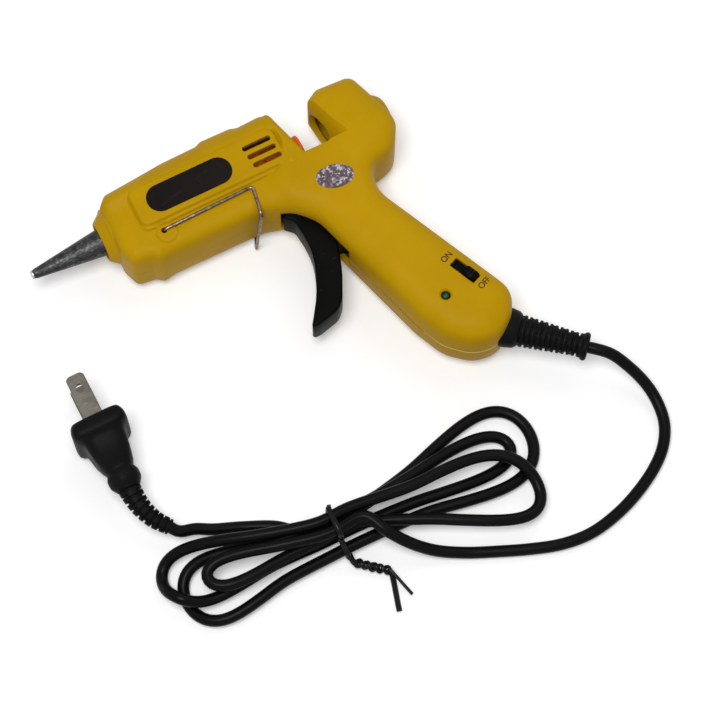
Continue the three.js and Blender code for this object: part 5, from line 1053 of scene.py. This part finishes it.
def ring_nose(behind=0.0):
    """What is taken from the ring's front above the stick gap, so that it is round from side to side."""
    places = []
    for y, depth in ((BODY_SIZE * GAP_FLOOR_SHARE, NOSE_DEPTHS[0]), (BEYOND_TOP, NOSE_DEPTHS[1])):
        curve = [(depth * (1 - math.cos(a)), BEYOND_SIDE * math.sin(a)) for a in np.linspace(0.02, 1.25, 16)]
        loop = [(-5, -1.5), (-0.01, -1.5), *curve, (depth * 0.7, 18), (-5, 18)]
        places += [(RING_FRONT + behind + x, y, z) for x, z in loop]
    return closed(places, len(places) // 2)


def along_body(shares):
    """The body's outline from one place to another."""
    loop = BODY_LOOP[:, :2]
    first, last = (int(np.hypot(*(loop - np.array(share) * BODY_SIZE).T).argmin()) for share in shares)
    return loop[first:last + 1]


def slit_form():
    """What is taken from a half's face along the handle's front, where the halves stand apart."""
    edge = along_body(SLIT_SHARES)
    flow = np.gradient(edge, axis=0)
    inward = np.stack([-flow[:, 1], flow[:, 0]], 1) / np.hypot(*flow.T)[:, None]
    outline = [*map(tuple, edge - inward), *map(tuple, (edge + inward * SLIT_DEPTH)[::-1])]
    return stacked([(outline, -1), (outline, SLIT_WIDTH / 2)])


def casing_half(left):
    def turned_from(start, profile, drop=0.0, sides=56):
        return turned([(start + x, radius) for x, radius in profile], (0, AXIS_HEIGHT - drop), sides=sides)

    cavity = carved(half_form(WALL, -1), [("-", form) for form in [*inner_ribs(), ring_nose(WALL)]])
    above = ("*", block(-20, 130, -20, 130, SEAM, 30))
    slot = around(SLOT_EDGE)
    steps = [
        ("-", cavity),
        ("+", carved(turned(eased_corners(COLLAR_PROFILE, 0.5), (0, AXIS_HEIGHT), sides=72), [above])),
        ("+", carved(turned_from(RING_BACK, ENTRY_PROFILE, ENTRY_DROP, 64), [above])),
        ("-", bore(-5, 5, NOZZLE_BORE)),
        ("-", bore(BLOCK_BACK - 11, BLOCK_BACK + 2, SLEEVE_BORE)),
        ("-", ring_nose()),
        ("-", turned_from(RING_FRONT, RING_MOUTH)),
        ("-", turned_from(RING_BACK, ENTRY_MOUTH, ENTRY_DROP)),
        ("-", stacked([(slot, -OVERRUN), (slot, TRIGGER_SLOT_HALF)])),
        ("-", slit_form()),
        ("-", rod(STAND_HOLE_RADIUS, STAND_PIVOT, STAND_HOLE_FOOT, HALF_THICKNESS + 2)),
        ("-", rod(TRIGGER_PIN_RADIUS, TRIGGER_PIVOT, -OVERRUN, PIN_HOLE_TOP)),
        ("-", bore(-6, 2, CORD_BORE, BOOT_PLACE, BOOT_TURN)),
    ]
    for place in VENTS:
        vent = oblong(place, *VENT_SIZE, 0, VENT_SIZE[1] / 2, fine=9)
        lip = (vent(1 + VENT_LIP), HALF_THICKNESS + 1)
        steps.append(("-", stacked([(vent(0), 8), (vent(0), HALF_THICKNESS - VENT_LIP), lip])))
    if left:
        window = oblong(SWITCH_PLACE, *WINDOW_SIZE, SWITCH_TURN, 0.4)
        steps += [("-", rod(POST_HOLE_RADIUS, place, -OVERRUN, POST_HOLE_TOP)) for place in SCREWS]
        steps += [("-", hole(window, UNDER_WALL, HALF_THICKNESS, WINDOW_BEVEL)),
                  ("-", drilled(LAMP_HOLE_RADIUS, LAMP_PLACE, UNDER_WALL, LAMP_HOLE_MOUTH, LAMP_HOLE_BEVEL))]
    else:
        for place in SCREWS:
            mouth = side_height([place])[0]
            steps += [("-", rod(POST_HOLE_RADIUS, place, -OVERRUN, RIB_TOP)),
                      ("-", drilled(HEAD_HOLE_RADIUS, place, HEAD_SEAT, mouth, HEAD_HOLE_BEVEL))]
    made = carved(half_form(), steps)
    return made if left else moved(made, Matrix.Scale(-1, 4, (0, 0, 1)))


yellow_abs = moulded_finish("yellow_abs", (0.51, 0.293, 0.0012), 0.42, (0.45, 0.256, 0.001), (0.62, 0.40, 0.03),
                            grain=0.16, grain_scale=2400.0, cloud_scale=38.0, sharpness=0.58, scratch=0.0006,
                            Specular_IOR_Level=0.05)
for side in ("left", "right"):
    half = piece(f"casing_{side}", casing_half(side == "left"), yellow_abs, slot="yellow_plastic", smooth=32)
    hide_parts(f"{side}_casing")


# Parting line: along the handle's front the halves stand a hair apart, and from there round the butt the
# mould's flash was scraped to a thin edge, drawn as a pale bead that is partly a painted highlight on that rim.
FLASH_SHARES = ((0.713, 0.155), (0.955, 0.03))
FLASH_RADIUS = 0.14
# The pale colour is scraped plastic and partly a painted edge highlight.
pale_flash_highlight = moulded_finish("pale_flash_highlight", (0.72, 0.55, 0.12), 0.5, (0.64, 0.47, 0.08), (0.8, 0.65, 0.2),
                           grain=0.3, scratch=0.0008, Specular_IOR_Level=0.3)
flash_line = [Vector((x, y, 0)) for x, y in along_body(FLASH_SHARES)]
steps_in = [min(i, len(flash_line) - 1 - i) for i in range(len(flash_line))]
taper = [FLASH_RADIUS * min(1.0, 0.2 + 0.1 * i) for i in steps_in]
flash = swept(flash_line, [circle(radius, 8) for radius in taper])
piece("parting_flash", flash, pale_flash_highlight, slot="yellow_plastic")


# Screws: five pan-head self-tapping screws with cross recesses, zinc plated, driven from the right side into
# the left half's posts.
SCREW_HEAD_FACE = -11
HEAD_RADIUS, HEAD_HEIGHT, SHANK_RADIUS, SHANK_END = 2.2, 1.8, 1.3, 7
THREAD_PITCH, THREAD_DEPTH, RECESS = 0.9, 0.25, (1.25, 0.24)


def screw_form(place):
    top = SCREW_HEAD_FACE
    head = [(HEAD_RADIUS * math.sin(a), top + 0.8 * (1 - math.cos(a))) for a in (0.25, 0.6, 0.95, 1.3)]
    levels = [(0.4, top), *head, (HEAD_RADIUS, top + 0.85), (HEAD_RADIUS, top + HEAD_HEIGHT),
              (SHANK_RADIUS, top + HEAD_HEIGHT + 0.01)]
    z = top + HEAD_HEIGHT + 0.8
    while z < SHANK_END - 1.4:
        levels += [(SHANK_RADIUS - THREAD_DEPTH, z), (SHANK_RADIUS, z + THREAD_PITCH / 2)]
        z += THREAD_PITCH
    levels += [(SHANK_RADIUS - 0.3, z), (0.2, SHANK_END)]
    x, y = place
    recess = [("-", block(x - a, x + a, y - b, y + b, top - 1, top + 1)) for a, b in (RECESS, RECESS[::-1])]
    return carved(stacked([(ring_at(place, r, 28), z) for r, z in levels]), recess)


zinc_plate = metal_finish("zinc_plate", (0.62, 0.61, 0.58), 0.3, (0.4, 0.38, 0.33), pits=0.1, tarnish_and_reflection=0.5)
for number, place in enumerate(SCREWS, 1):
    screw = piece(f"pan_screw_{number}", screw_form(place), zinc_plate, slot="steel")
    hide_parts(f"casing_screw_{number}")


# Nozzle: a pressure-cast zinc cone, left rough and grey from the mould, with the mould's seam along it, a
# flange behind the collar and a turned tip.
NOZZLE_TIP = -29.3
NOZZLE_SEAMS = (math.radians(148), math.radians(328))  # round the axis, from the barrel's top
NOZZLE_TURNED = 0.7  # the length of its bright end


def nozzle_form():
    """A turned cone whose two mould halves meet with a small step."""
    tip = NOZZLE_TIP
    profile = eased_corners([
        (tip + 2.5, 0.6), (tip, 0.6), (tip, 1.35), (tip + 0.5, 1.55), (tip + 1.2, 1.5), (tip + 1.5, 1.72),
        (-3.3, 4.8), (0.3, 4.85), (0.3, 5.4), (2.78, 5.4), (2.78, 4.1), (9.78, 4.1), (9.78, 2.05), (-3.3, 2.05),
        (tip + 2.5, 0.6)], 0.25)
    sides = 72
    places, faces = turned(profile, (0, AXIS_HEIGHT), sides=sides)
    stepped = []
    for i, place in enumerate(places):
        angle = 2 * math.pi * (i % sides) / sides
        along, radius = profile[i // sides]
        off = [(angle - seam + math.pi) % (2 * math.pi) - math.pi for seam in NOZZLE_SEAMS]
        groove = -0.3 * max(math.exp(-(o / 0.07) ** 2) for o in off)
        shift = 0.08 if off[0] < 0 else -0.08
        share = (radius + (groove + shift) * (tip + 2 < along < 0.3 and radius > 1.6)) / radius
        middle = Vector((place[0], AXIS_HEIGHT, 0))
        stepped.append(middle + (Vector(place) - middle) * share)
    return stepped, faces


def cast_metal():
    """Grey zinc straight from the mould: crystals, dark skin in the pores and bright rubbed grains."""
    made, tree, shader = new_finish("cast_zinc", (0.05, 0.05, 0.051), 0.42, 0.9)
    skin = effect(tree, MOULD_TEXTURE, Grain_Scale=1500.0, Cloud_Scale=520.0)
    broad = effect(tree, MOULD_TEXTURE, Grain_Scale=4000.0, Cloud_Scale=150.0)["Cloud"]
    place = wired(tree, "ShaderNodeTexCoord").outputs["Object"]
    drawn = wired(tree, "ShaderNodeMapping", {"Vector": place, "Scale": (0.45, 1, 1)}).outputs["Vector"]
    crystal = wired(tree, "ShaderNodeTexVoronoi", {"Vector": drawn, "Scale": 1500.0, "Randomness": 1.0})
    bright = ranged(tree, crystal.outputs["Distance"], From_Min=0.12, From_Max=0.55, To_Min=1, To_Max=0)
    grains = worked(tree, "MULTIPLY", bright, skin["Cloud"])
    dark = mixed(tree, broad, (0.02, 0.02, 0.021), (0.052, 0.053, 0.053))
    tree.links.new(mixed(tree, grains, dark, grey(0.15)), shader["Base Color"])
    skinned(tree, shader, skin, 0.34, 0.55, 0.35)
    return made


cast_zinc = cast_metal()
nozzle = piece("cast_nozzle", nozzle_form(), cast_zinc, slot="grey_casting", smooth=40)
turned_zinc = metal_finish("turned_zinc", (0.55, 0.55, 0.54), 0.25, (0.4, 0.4, 0.39), pits=0.05)
nozzle.data.materials.append(turned_zinc)
bright_end = (ON_GUN @ Vector((NOZZLE_TIP + NOZZLE_TURNED, 0, 0))).x
for face in nozzle.data.polygons:
    face.material_index = int(face.center.x < bright_end)
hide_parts("nozzle")


# Feed: the silicone sleeve that guides the stick to the melt chamber, its clamp, and the chamber with the
# ceramic heater clipped under it. They show through the vents and at the stick gap.
SLEEVE_FRONT, SLEEVE_BACK = 41.03, 72.6
SLEEVE_SOCKET, FEED_BORE, SLEEVE_SKIN, SLEEVE_BEAD = 5.2, 4.05, 1, 0.2


def recoat(finish, *names):
    """A finer finish on solids that keep their shape."""
    for name in names:
        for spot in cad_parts[name].material_slots:
            spot.material = finish


orange_silicone = moulded_finish("orange_silicone", (0.80, 0.13, 0.006), 0.45, (0.66, 0.09, 0.005),
                                 (0.85, 0.25, 0.06), grain=0.2, grain_scale=1200.0, Specular_IOR_Level=0.15)
front, back = SLEEVE_FRONT, SLEEVE_BACK
wide, narrow = SLEEVE_SOCKET + SLEEVE_SKIN, FEED_BORE + SLEEVE_SKIN
sleeve_profile = eased_corners([
    (front, SLEEVE_SOCKET), (front, wide), (front + 17.2, wide), (front + 18.2, narrow), (back - 1.2, narrow),
    (back - 1, narrow + SLEEVE_BEAD), (back, narrow + SLEEVE_BEAD), (back, FEED_BORE), (48.5, FEED_BORE),
    (47.3, SLEEVE_SOCKET), (front, SLEEVE_SOCKET),
], 0.4)
sleeve = piece("silicone_sleeve", turned(sleeve_profile, (0, AXIS_HEIGHT)), orange_silicone,
               slot="orange_silicone")
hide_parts("feed_sleeve")
baked_ceramic = moulded_finish("baked_ceramic", (0.30, 0.19, 0.11), 0.75, (0.22, 0.13, 0.07), (0.5, 0.38, 0.26),
                               grain=0.4, grain_scale=1500.0)
spring_steel = metal_finish("spring_steel", (0.5, 0.49, 0.47), 0.28, (0.3, 0.26, 0.2), pits=0.08, tarnish_and_reflection=0.5)
recoat(cast_zinc, "melt_chamber")
recoat(baked_ceramic, "heater_plate")
recoat(spring_steel, "heater_clip", "sleeve_clamp", "trigger_pin", "stick_gripper")


# Trigger: a hollow moulding of black plastic, open at the back, that turns on a steel pin in its boss; its
# arm's cross pin pushes the feed carriage.
TRIGGER_EDGE = [
    (0.495, 0.655, 0.004), (0.522, 0.629, 0.03), (0.527, 0.561, 0.2), (0.523, 0.506, 0.2), (0.504, 0.452, 0.2),
    (0.472, 0.382, 0.2), (0.429, 0.32, 0.1), (0.41, 0.294, 0.012), (0.44, 0.293, 0.03), (0.511, 0.31, 0.05),
    (0.538, 0.338, 0.06), (0.575, 0.411, 0.2), (0.6, 0.478, 0.2), (0.612, 0.515, 0.02), (0.614, 0.564, 0.02),
    (0.591, 0.645, 0.03), (0.555, 0.686, 0.03), (0.523, 0.684, 0.02),
]
TRIGGER_HOLLOW = [
    (0.7, 0.36), (0.7, 0.633), (0.543, 0.633), (0.547, 0.561), (0.542, 0.501), (0.523, 0.446), (0.493, 0.378),
    (0.468, 0.335), (0.502, 0.335), (0.53, 0.36),
]
TRIGGER_HALF, TRIGGER_SOFTNESS, TRIGGER_HOLLOW_HALF = 6, 1, 4.2
TRIGGER_BOSS_RADIUS, ARM_WIDTH, ARM_HALF = 3.2, 4.4, 2
LINK_PLACE, LINK_RADIUS, LINK_HALF = (80.96, 76.01), 1.3, 5.6


def trigger_form():
    levels = []
    for degrees in (-90, -60, -30, 0, 0, 30, 60, 90):
        side = -1 if len(levels) < 4 else 1
        softness = TRIGGER_SOFTNESS * (1 - math.cos(math.radians(degrees)))
        z = side * (TRIGGER_HALF - TRIGGER_SOFTNESS) + TRIGGER_SOFTNESS * math.sin(math.radians(degrees))
        levels.append(([(x, y) for x, y, _ in rounded(around(TRIGGER_EDGE), softness, step=99)], z))
    hollow = around(TRIGGER_HOLLOW)
    pivot, link = Vector(TRIGGER_PIVOT), Vector(LINK_PLACE)
    boss = Vector((0, TRIGGER_BOSS_RADIUS))
    lug = [(66, 56.2), pivot - boss, pivot + boss, (66, 62.5)]
    across = (link - pivot).normalized().orthogonal() * ARM_WIDTH / 2
    arm = [pivot + across, pivot - across, link - across, link + across]

    def slab(loop, half):
        return stacked([(loop, -half), (loop, half)])

    return carved(stacked(levels), [
        ("-", slab(hollow, TRIGGER_HOLLOW_HALF)),
        ("+", slab(lug, TRIGGER_HALF - 0.4)),
        ("+", rod(TRIGGER_BOSS_RADIUS, TRIGGER_PIVOT, -TRIGGER_HALF, TRIGGER_HALF, 40)),
        ("+", slab(arm, ARM_HALF)),
        ("+", rod(ARM_WIDTH / 2, LINK_PLACE, -ARM_HALF + 0.02, ARM_HALF - 0.02)),
        ("+", rod(LINK_RADIUS, LINK_PLACE, -LINK_HALF, LINK_HALF)),
        ("-", rod(TRIGGER_PIN_RADIUS, TRIGGER_PIVOT, -TRIGGER_HALF - 1, TRIGGER_HALF + 1)),
    ])


# Its edge colour is far lighter than wear would make it: the raised edges carry a painted highlight, on the
# knob too.
trigger_plastic = moulded_finish("trigger_plastic", (0.0025, 0.0025, 0.002), 0.36, (0.004, 0.004, 0.0035),
                                 (0.06, 0.06, 0.055), grain=0.1, grain_scale=2200.0, sharpness=0.58,
                                 scratch=0.001, Specular_IOR_Level=0.025)
trigger = piece("trigger_lever", trigger_form(), trigger_plastic, body="trigger", slot="black_plastic",
                smooth=40)
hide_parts("trigger")


# Stand: one length of bright plated wire, bent to a frame round the barrel, its two ends sprung into the
# holes of the pivot bosses.
STAND_WIRE_RADIUS = 0.6
STAND_SIDE = 13.0
STAND_POINTS = [(49.39, 84.15, 1), (47.41, 73.48, 1), (44.22, 73.04, -1), (49.39, 84.15, -1)]
STAND_HOLD = 7.5


def bent(points, reach, steps=6):
    """A line through points whose corners are drawn as curves that begin at a distance from them."""
    points = [Vector(p) for p in points]
    line = [points[0]]
    for a, b, c in zip(points, points[1:], points[2:]):
        r = min(reach, 0.45 * (a - b).length, 0.45 * (c - b).length)
        start, end = b + (a - b).normalized() * r, b + (c - b).normalized() * r
        line += [start.lerp(b, k / steps).lerp(b.lerp(end, k / steps), k / steps) for k in range(steps + 1)]
    return line + [points[-1]]


# Its dark reddish-brown clouds are tarnish and partly a painted dark reflection.
plated_wire = metal_finish("plated_wire", (0.24, 0.19, 0.16), 0.18, (0.05, 0.03, 0.022), pits=0.1,
                           cloud_scale=700.0, tarnish_and_reflection=0.95)
wire_line = bent(
    [(*STAND_PIVOT, STAND_HOLD), (*STAND_PIVOT, STAND_SIDE)]
    + [(x, y, side * STAND_SIDE) for x, y, side in STAND_POINTS]
    + [(*STAND_PIVOT, -STAND_SIDE), (*STAND_PIVOT, -STAND_HOLD)], 1.7)
stand = piece("stand_frame", tube(wire_line, STAND_WIRE_RADIUS, 14), plated_wire, body="stand",
              slot="bright_wire")
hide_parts("stand_wire")


# Slide switch: a black knob that stands in the window on a plate wider than it, and the words printed on the
# casing at the two ends of its travel.
KNOB_SIZE, KNOB_SHIFT, KNOB_TOP = (5.2, 3.5), -2.3, 15.2
KNOB_PLATE, KNOB_PLATE_Z = (11.99, 5.2), (10.8, 11.7)
KNOB_GROOVES, KNOB_GROOVE_SIZE, KNOB_GROOVE_DEPTH = (-1.1, 0, 1.1), (0.4, 5), 0.25
WORDS = [("ON", (94.9, 31.5)), ("OFF", (101.8, 17.8))]
WORD_HEIGHT, WORD_WEIGHT, WORD_TURN, WORD_LIFT = 2.2, 0.035, math.radians(23.7), 0.06
CAPITAL_SHARE, LETTER_SPACING = 0.73, 0.96  # height of a capital as a share of the letters' size


def knob_form():
    knob = oblong(SWITCH_PLACE, *KNOB_SIZE, SWITCH_TURN, 0.9, KNOB_SHIFT)
    plate = oblong(SWITCH_PLACE, *KNOB_PLATE, SWITCH_TURN, 0.3)(0)
    levels = [(0, KNOB_PLATE_Z[1] - 0.3), (0, KNOB_TOP - 0.5), (0.1, KNOB_TOP - 0.2), (0.3, KNOB_TOP)]
    steps = [("+", stacked([(knob(inset), z) for inset, z in levels]))]
    for shift in KNOB_GROOVES:
        groove = oblong(SWITCH_PLACE, *KNOB_GROOVE_SIZE, SWITCH_TURN, 0.1, KNOB_SHIFT + shift)(0)
        steps.append(("-", stacked([(groove, KNOB_TOP - KNOB_GROOVE_DEPTH), (groove, KNOB_TOP + 1)])))
    return carved(stacked([(plate, KNOB_PLATE_Z[0]), (plate, KNOB_PLATE_Z[1])]), steps)


def printed(word, place):
    """A word laid on the casing's side, from the plain built-in letters."""
    letters = bpy.data.curves.new(word, "FONT")
    letters.body, letters.size = word, WORD_HEIGHT / CAPITAL_SHARE
    letters.space_character, letters.offset = LETTER_SPACING, WORD_WEIGHT
    writer = bpy.data.objects.new(word, letters)
    bpy.context.scene.collection.objects.link(writer)
    flat = bpy.data.meshes.new_from_object(writer.evaluated_get(bpy.context.evaluated_depsgraph_get()))
    bpy.data.objects.remove(writer)
    corners = np.array([v.co.xy for v in flat.vertices])
    middle = Vector((corners.min(0) + corners.max(0)) / 2)
    spots = [Matrix.Rotation(WORD_TURN, 2) @ (v.co.xy - middle) + Vector(place) for v in flat.vertices]
    heights = side_height(spots) + WORD_LIFT
    return [(*spot, z) for spot, z in zip(spots, heights)], [tuple(f.vertices) for f in flat.polygons]


knob = piece("switch_slider", knob_form(), trigger_plastic, body="knob", slot="black_plastic")
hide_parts("switch_knob")
print_ink = moulded_finish("print_ink", (0.03, 0.01, 0.002), 0.5, (0.045, 0.016, 0.004), (0.2, 0.12, 0.02),
                           grain=0.05, Specular_IOR_Level=0.2)
for word, place in WORDS:
    piece(f"printed_{word.lower()}", printed(word, place), print_ink, slot="label_film")


# Lamp: a 3 mm green lens that looks out of a dished hole beside the switch.
LAMP_RADIUS, LAMP_FOOT, LAMP_TOP = 1.45, 10.8, 13.5
glass_green = moulded_finish("glass_green", (0.003, 0.06, 0.016), 0.12, (0.002, 0.04, 0.011),
                             (0.01, 0.12, 0.03), grain=0.02, scratch=0.0004, Specular_IOR_Level=0.35)
lens = [(LAMP_RADIUS, LAMP_FOOT)] + [
    (LAMP_RADIUS * math.cos(a), LAMP_TOP - LAMP_RADIUS + LAMP_RADIUS * math.sin(a))
    for a in np.linspace(0, 1.5, 9)
]
lamp = piece("lamp_lens", stacked([(ring_at(LAMP_PLACE, r, 28), z) for r, z in lens]), glass_green,
             slot="green_lens")
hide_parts("led_lamp")


# Labels: a dark glossy film on the barrel's panel and a silver film on the side over the trigger, both bare;
# each is stuck flat and follows the casing under it.
LABEL_PLACE, LABEL_SIZE = (30.69, 94.05), (31, 10)
STICKER_PLACE, STICKER_SIZE, STICKER_TURN = (75.5, 74.4), (13, 8.6), math.radians(-14)
FILM, FILM_RIPPLE = 0.16, 0.05


def laid_film(outline, place, ripple=0.0):
    """A film with this outline laid on the casing's side, lifted a little here and there."""
    rings = [(1, -0.05)] + [(share, FILM) for share in (1, 0.985, 0.9, 0.75, 0.6, 0.45, 0.3, 0.15, 0.02)]
    spots = [
        (place[0] + (x - place[0]) * share, place[1] + (y - place[1]) * share)
        for share, _ in rings for x, y in outline
    ]
    n = len(outline)
    lifts = np.repeat([lift for _, lift in rings], n)
    wave = [math.sin(3.1 * x + 1.7 * y) * math.sin(2.3 * y - 1.1 * x) for x, y in spots]
    heights = side_height(spots) + lifts + ripple * np.array(wave) * (lifts > 0)
    middle = tuple(range(len(spots) - n, len(spots)))
    return [(*spot, z) for spot, z in zip(spots, heights)], bands(len(rings), n) + [middle]


def foil_finish():
    """Silver film with a purple cast, creased, with the dark and bright flecks of its creases' reflections
    painted into its colour.
    """
    made, tree, shader = new_finish("creased_foil", (0.4, 0.36, 0.39), 0.2, 1.0)
    cloud = effect(tree, MOULD_TEXTURE, Grain_Scale=700.0, Cloud_Scale=300.0)["Cloud"]
    painted_fleck_noise = effect(tree, MOULD_TEXTURE, Grain_Scale=2600.0, Cloud_Scale=900.0)["Cloud"]
    painted_fleck_share = ranged(tree, painted_fleck_noise, From_Min=0.3, From_Max=0.5)
    silver_with_painted_sheen = mixed(tree, cloud, (0.16, 0.13, 0.145), (0.42, 0.38, 0.38))
    tree.links.new(mixed(tree, painted_fleck_share, silver_with_painted_sheen, (0.08, 0.062, 0.075)), shader["Base Color"])
    bump = wired(tree, "ShaderNodeBump", {"Strength": 0.6, "Distance": 0.0004, "Height": cloud})
    tree.links.new(bump.outputs["Normal"], shader["Normal"])
    return made


dark_film = moulded_finish("dark_film", (0.006, 0.0035, 0.003), 0.25, (0.009, 0.006, 0.005),
                           (0.03, 0.02, 0.012), grain=0.02, scratch=0.0, Specular_IOR_Level=0.08)
label_edge = oblong(LABEL_PLACE, *LABEL_SIZE, 0, 0.98 * (LABEL_SIZE[1] / 2), fine=6, step=1.5)(0)
label = piece("panel_label", laid_film(label_edge, LABEL_PLACE), dark_film, slot="label_film")
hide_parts("name_label")
to_sticker = Matrix.Rotation(STICKER_TURN, 2)
sticker_edge = [
    tuple(Vector(STICKER_PLACE) + to_sticker @ Vector((x, y)))
    for x, y in circle(STICKER_SIZE[0] / 2, 56, STICKER_SIZE[1] / STICKER_SIZE[0])
]
sticker = piece("oval_sticker", laid_film(sticker_edge, STICKER_PLACE, FILM_RIPPLE), foil_finish(),
                slot="silver_film")
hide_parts("check_sticker")


# Feed works: the return spring between its rib and the carriage, built at rest in a mesh of its own, though the
# real one closes up as the carriage is driven forward; carriage, gripper, switch and board keep their own
# shapes.
SPRING_ENDS, SPRING_HEIGHT, SPRING_COIL, SPRING_WIRE, SPRING_TURNS = (60.6, 77.01), 83.05, 1.95, 0.35, 9


def spring_form():
    front, back = SPRING_ENDS
    steps = SPRING_TURNS * 18
    line = []
    for k in range(steps + 1):
        turns = SPRING_TURNS * k / steps
        # The end turns lie flat
        share = np.interp(turns, [0, 0.9, SPRING_TURNS - 0.9, SPRING_TURNS], [0, 0.055, 0.945, 1])
        x = front + SPRING_WIRE + (back - front - 2 * SPRING_WIRE) * share
        a = 2 * math.pi * turns
        line.append(Vector((x, SPRING_HEIGHT + SPRING_COIL * math.cos(a), SPRING_COIL * math.sin(a))))
    return tube(line, SPRING_WIRE, 8)


spring = piece("feed_spring", spring_form(), spring_steel, slot="steel")
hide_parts("return_spring")
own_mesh(spring)
black_nylon = moulded_finish("black_nylon", (0.012, 0.012, 0.013), 0.45, (0.02, 0.02, 0.021), grey(0.07),
                             grain=0.2, Specular_IOR_Level=0.35)
board_green = moulded_finish("board_green", (0.02, 0.12, 0.035), 0.35, (0.015, 0.09, 0.03), (0.15, 0.22, 0.12),
                             grain=0.1, grain_scale=1400.0)
recoat(black_nylon, "feed_carriage", "switch_body")
recoat(board_green, "circuit_board")


# Inner leads: two from the boot to the switch and the board, and two from the board past the trigger to the
# heater; stranded wires in red and black sleeving.
LEAD_RADIUS, LEAD_BEND = 0.7, 3
BOARD_PLACE, BOARD_END, LEAD_START_Z = (86.09, 23.69), 31.69, 3.4
SIDE_SPREAD, HEATER_SPREAD = 8.8, 2.35
SIDE_ROUTE = [(0.7, 0.385), (0.691, 0.455), (0.709, 0.545), (0.7, 0.645), (0.62, 0.698), (0.535, 0.704),
              (0.455, 0.715)]
HEATER_ROUTE = [(36.8, 82.465), (35.25, 84.865), (34.55, 84.865)]


def supply_route(side):
    near, held = along_boot(-5.7), along_boot(-7.8)
    far = (*SWITCH_PLACE, 3.5) if side > 0 else (*BOARD_PLACE, LEAD_START_Z)
    x, y, z = near.x, near.y, side * 1.0
    return [
        (x, y, z), (held.x, held.y, z), ((2 * x + far[0]) / 3 - 0.7, (2 * y + far[1]) / 3, z),
        ((x + 2 * far[0]) / 3, (y + 2 * far[1]) / 3, (z + 2 * far[2]) / 3), far,
    ]


def heater_route(side):
    wide, narrow = side * SIDE_SPREAD, side * HEATER_SPREAD
    start = BOARD_PLACE[0] + narrow
    sides = [
        (x * BODY_SIZE, y * BODY_SIZE, wide if i else (LEAD_START_Z + wide) / 2)
        for i, (x, y) in enumerate(SIDE_ROUTE)
    ]
    return [
        (start, BOARD_END - 1.4, LEAD_START_Z), (start - 0.7, BOARD_END + 1.4, LEAD_START_Z), *sides,
        (42.9, 79.2, (2 * wide + narrow) / 3), (37.95, 79.2, narrow),
        *((x, y, narrow) for x, y in HEATER_ROUTE),
    ]


red_sleeving = moulded_finish("red_sleeving", (0.42, 0.012, 0.01), 0.4, (0.32, 0.01, 0.008), (0.55, 0.1, 0.08),
                              grain=0.1, Specular_IOR_Level=0.35)
black_sleeving = moulded_finish("black_sleeving", grey(0.012), 0.4, grey(0.02), grey(0.06), grain=0.1,
                                Specular_IOR_Level=0.35)
for name, route, finish, slot in (
    ("supply_wire_live", supply_route(1), black_sleeving, "black_rubber"),
    ("supply_wire_neutral", supply_route(-1), red_sleeving, "red_insulation"),
    ("heater_wire_live", heater_route(1), red_sleeving, "red_insulation"),
    ("heater_wire_neutral", heater_route(-1), black_sleeving, "black_rubber"),
):
    lead = piece(f"{name}_lead", tube(bent(route, LEAD_BEND), LEAD_RADIUS, 12), finish, slot=slot)
    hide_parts(name)
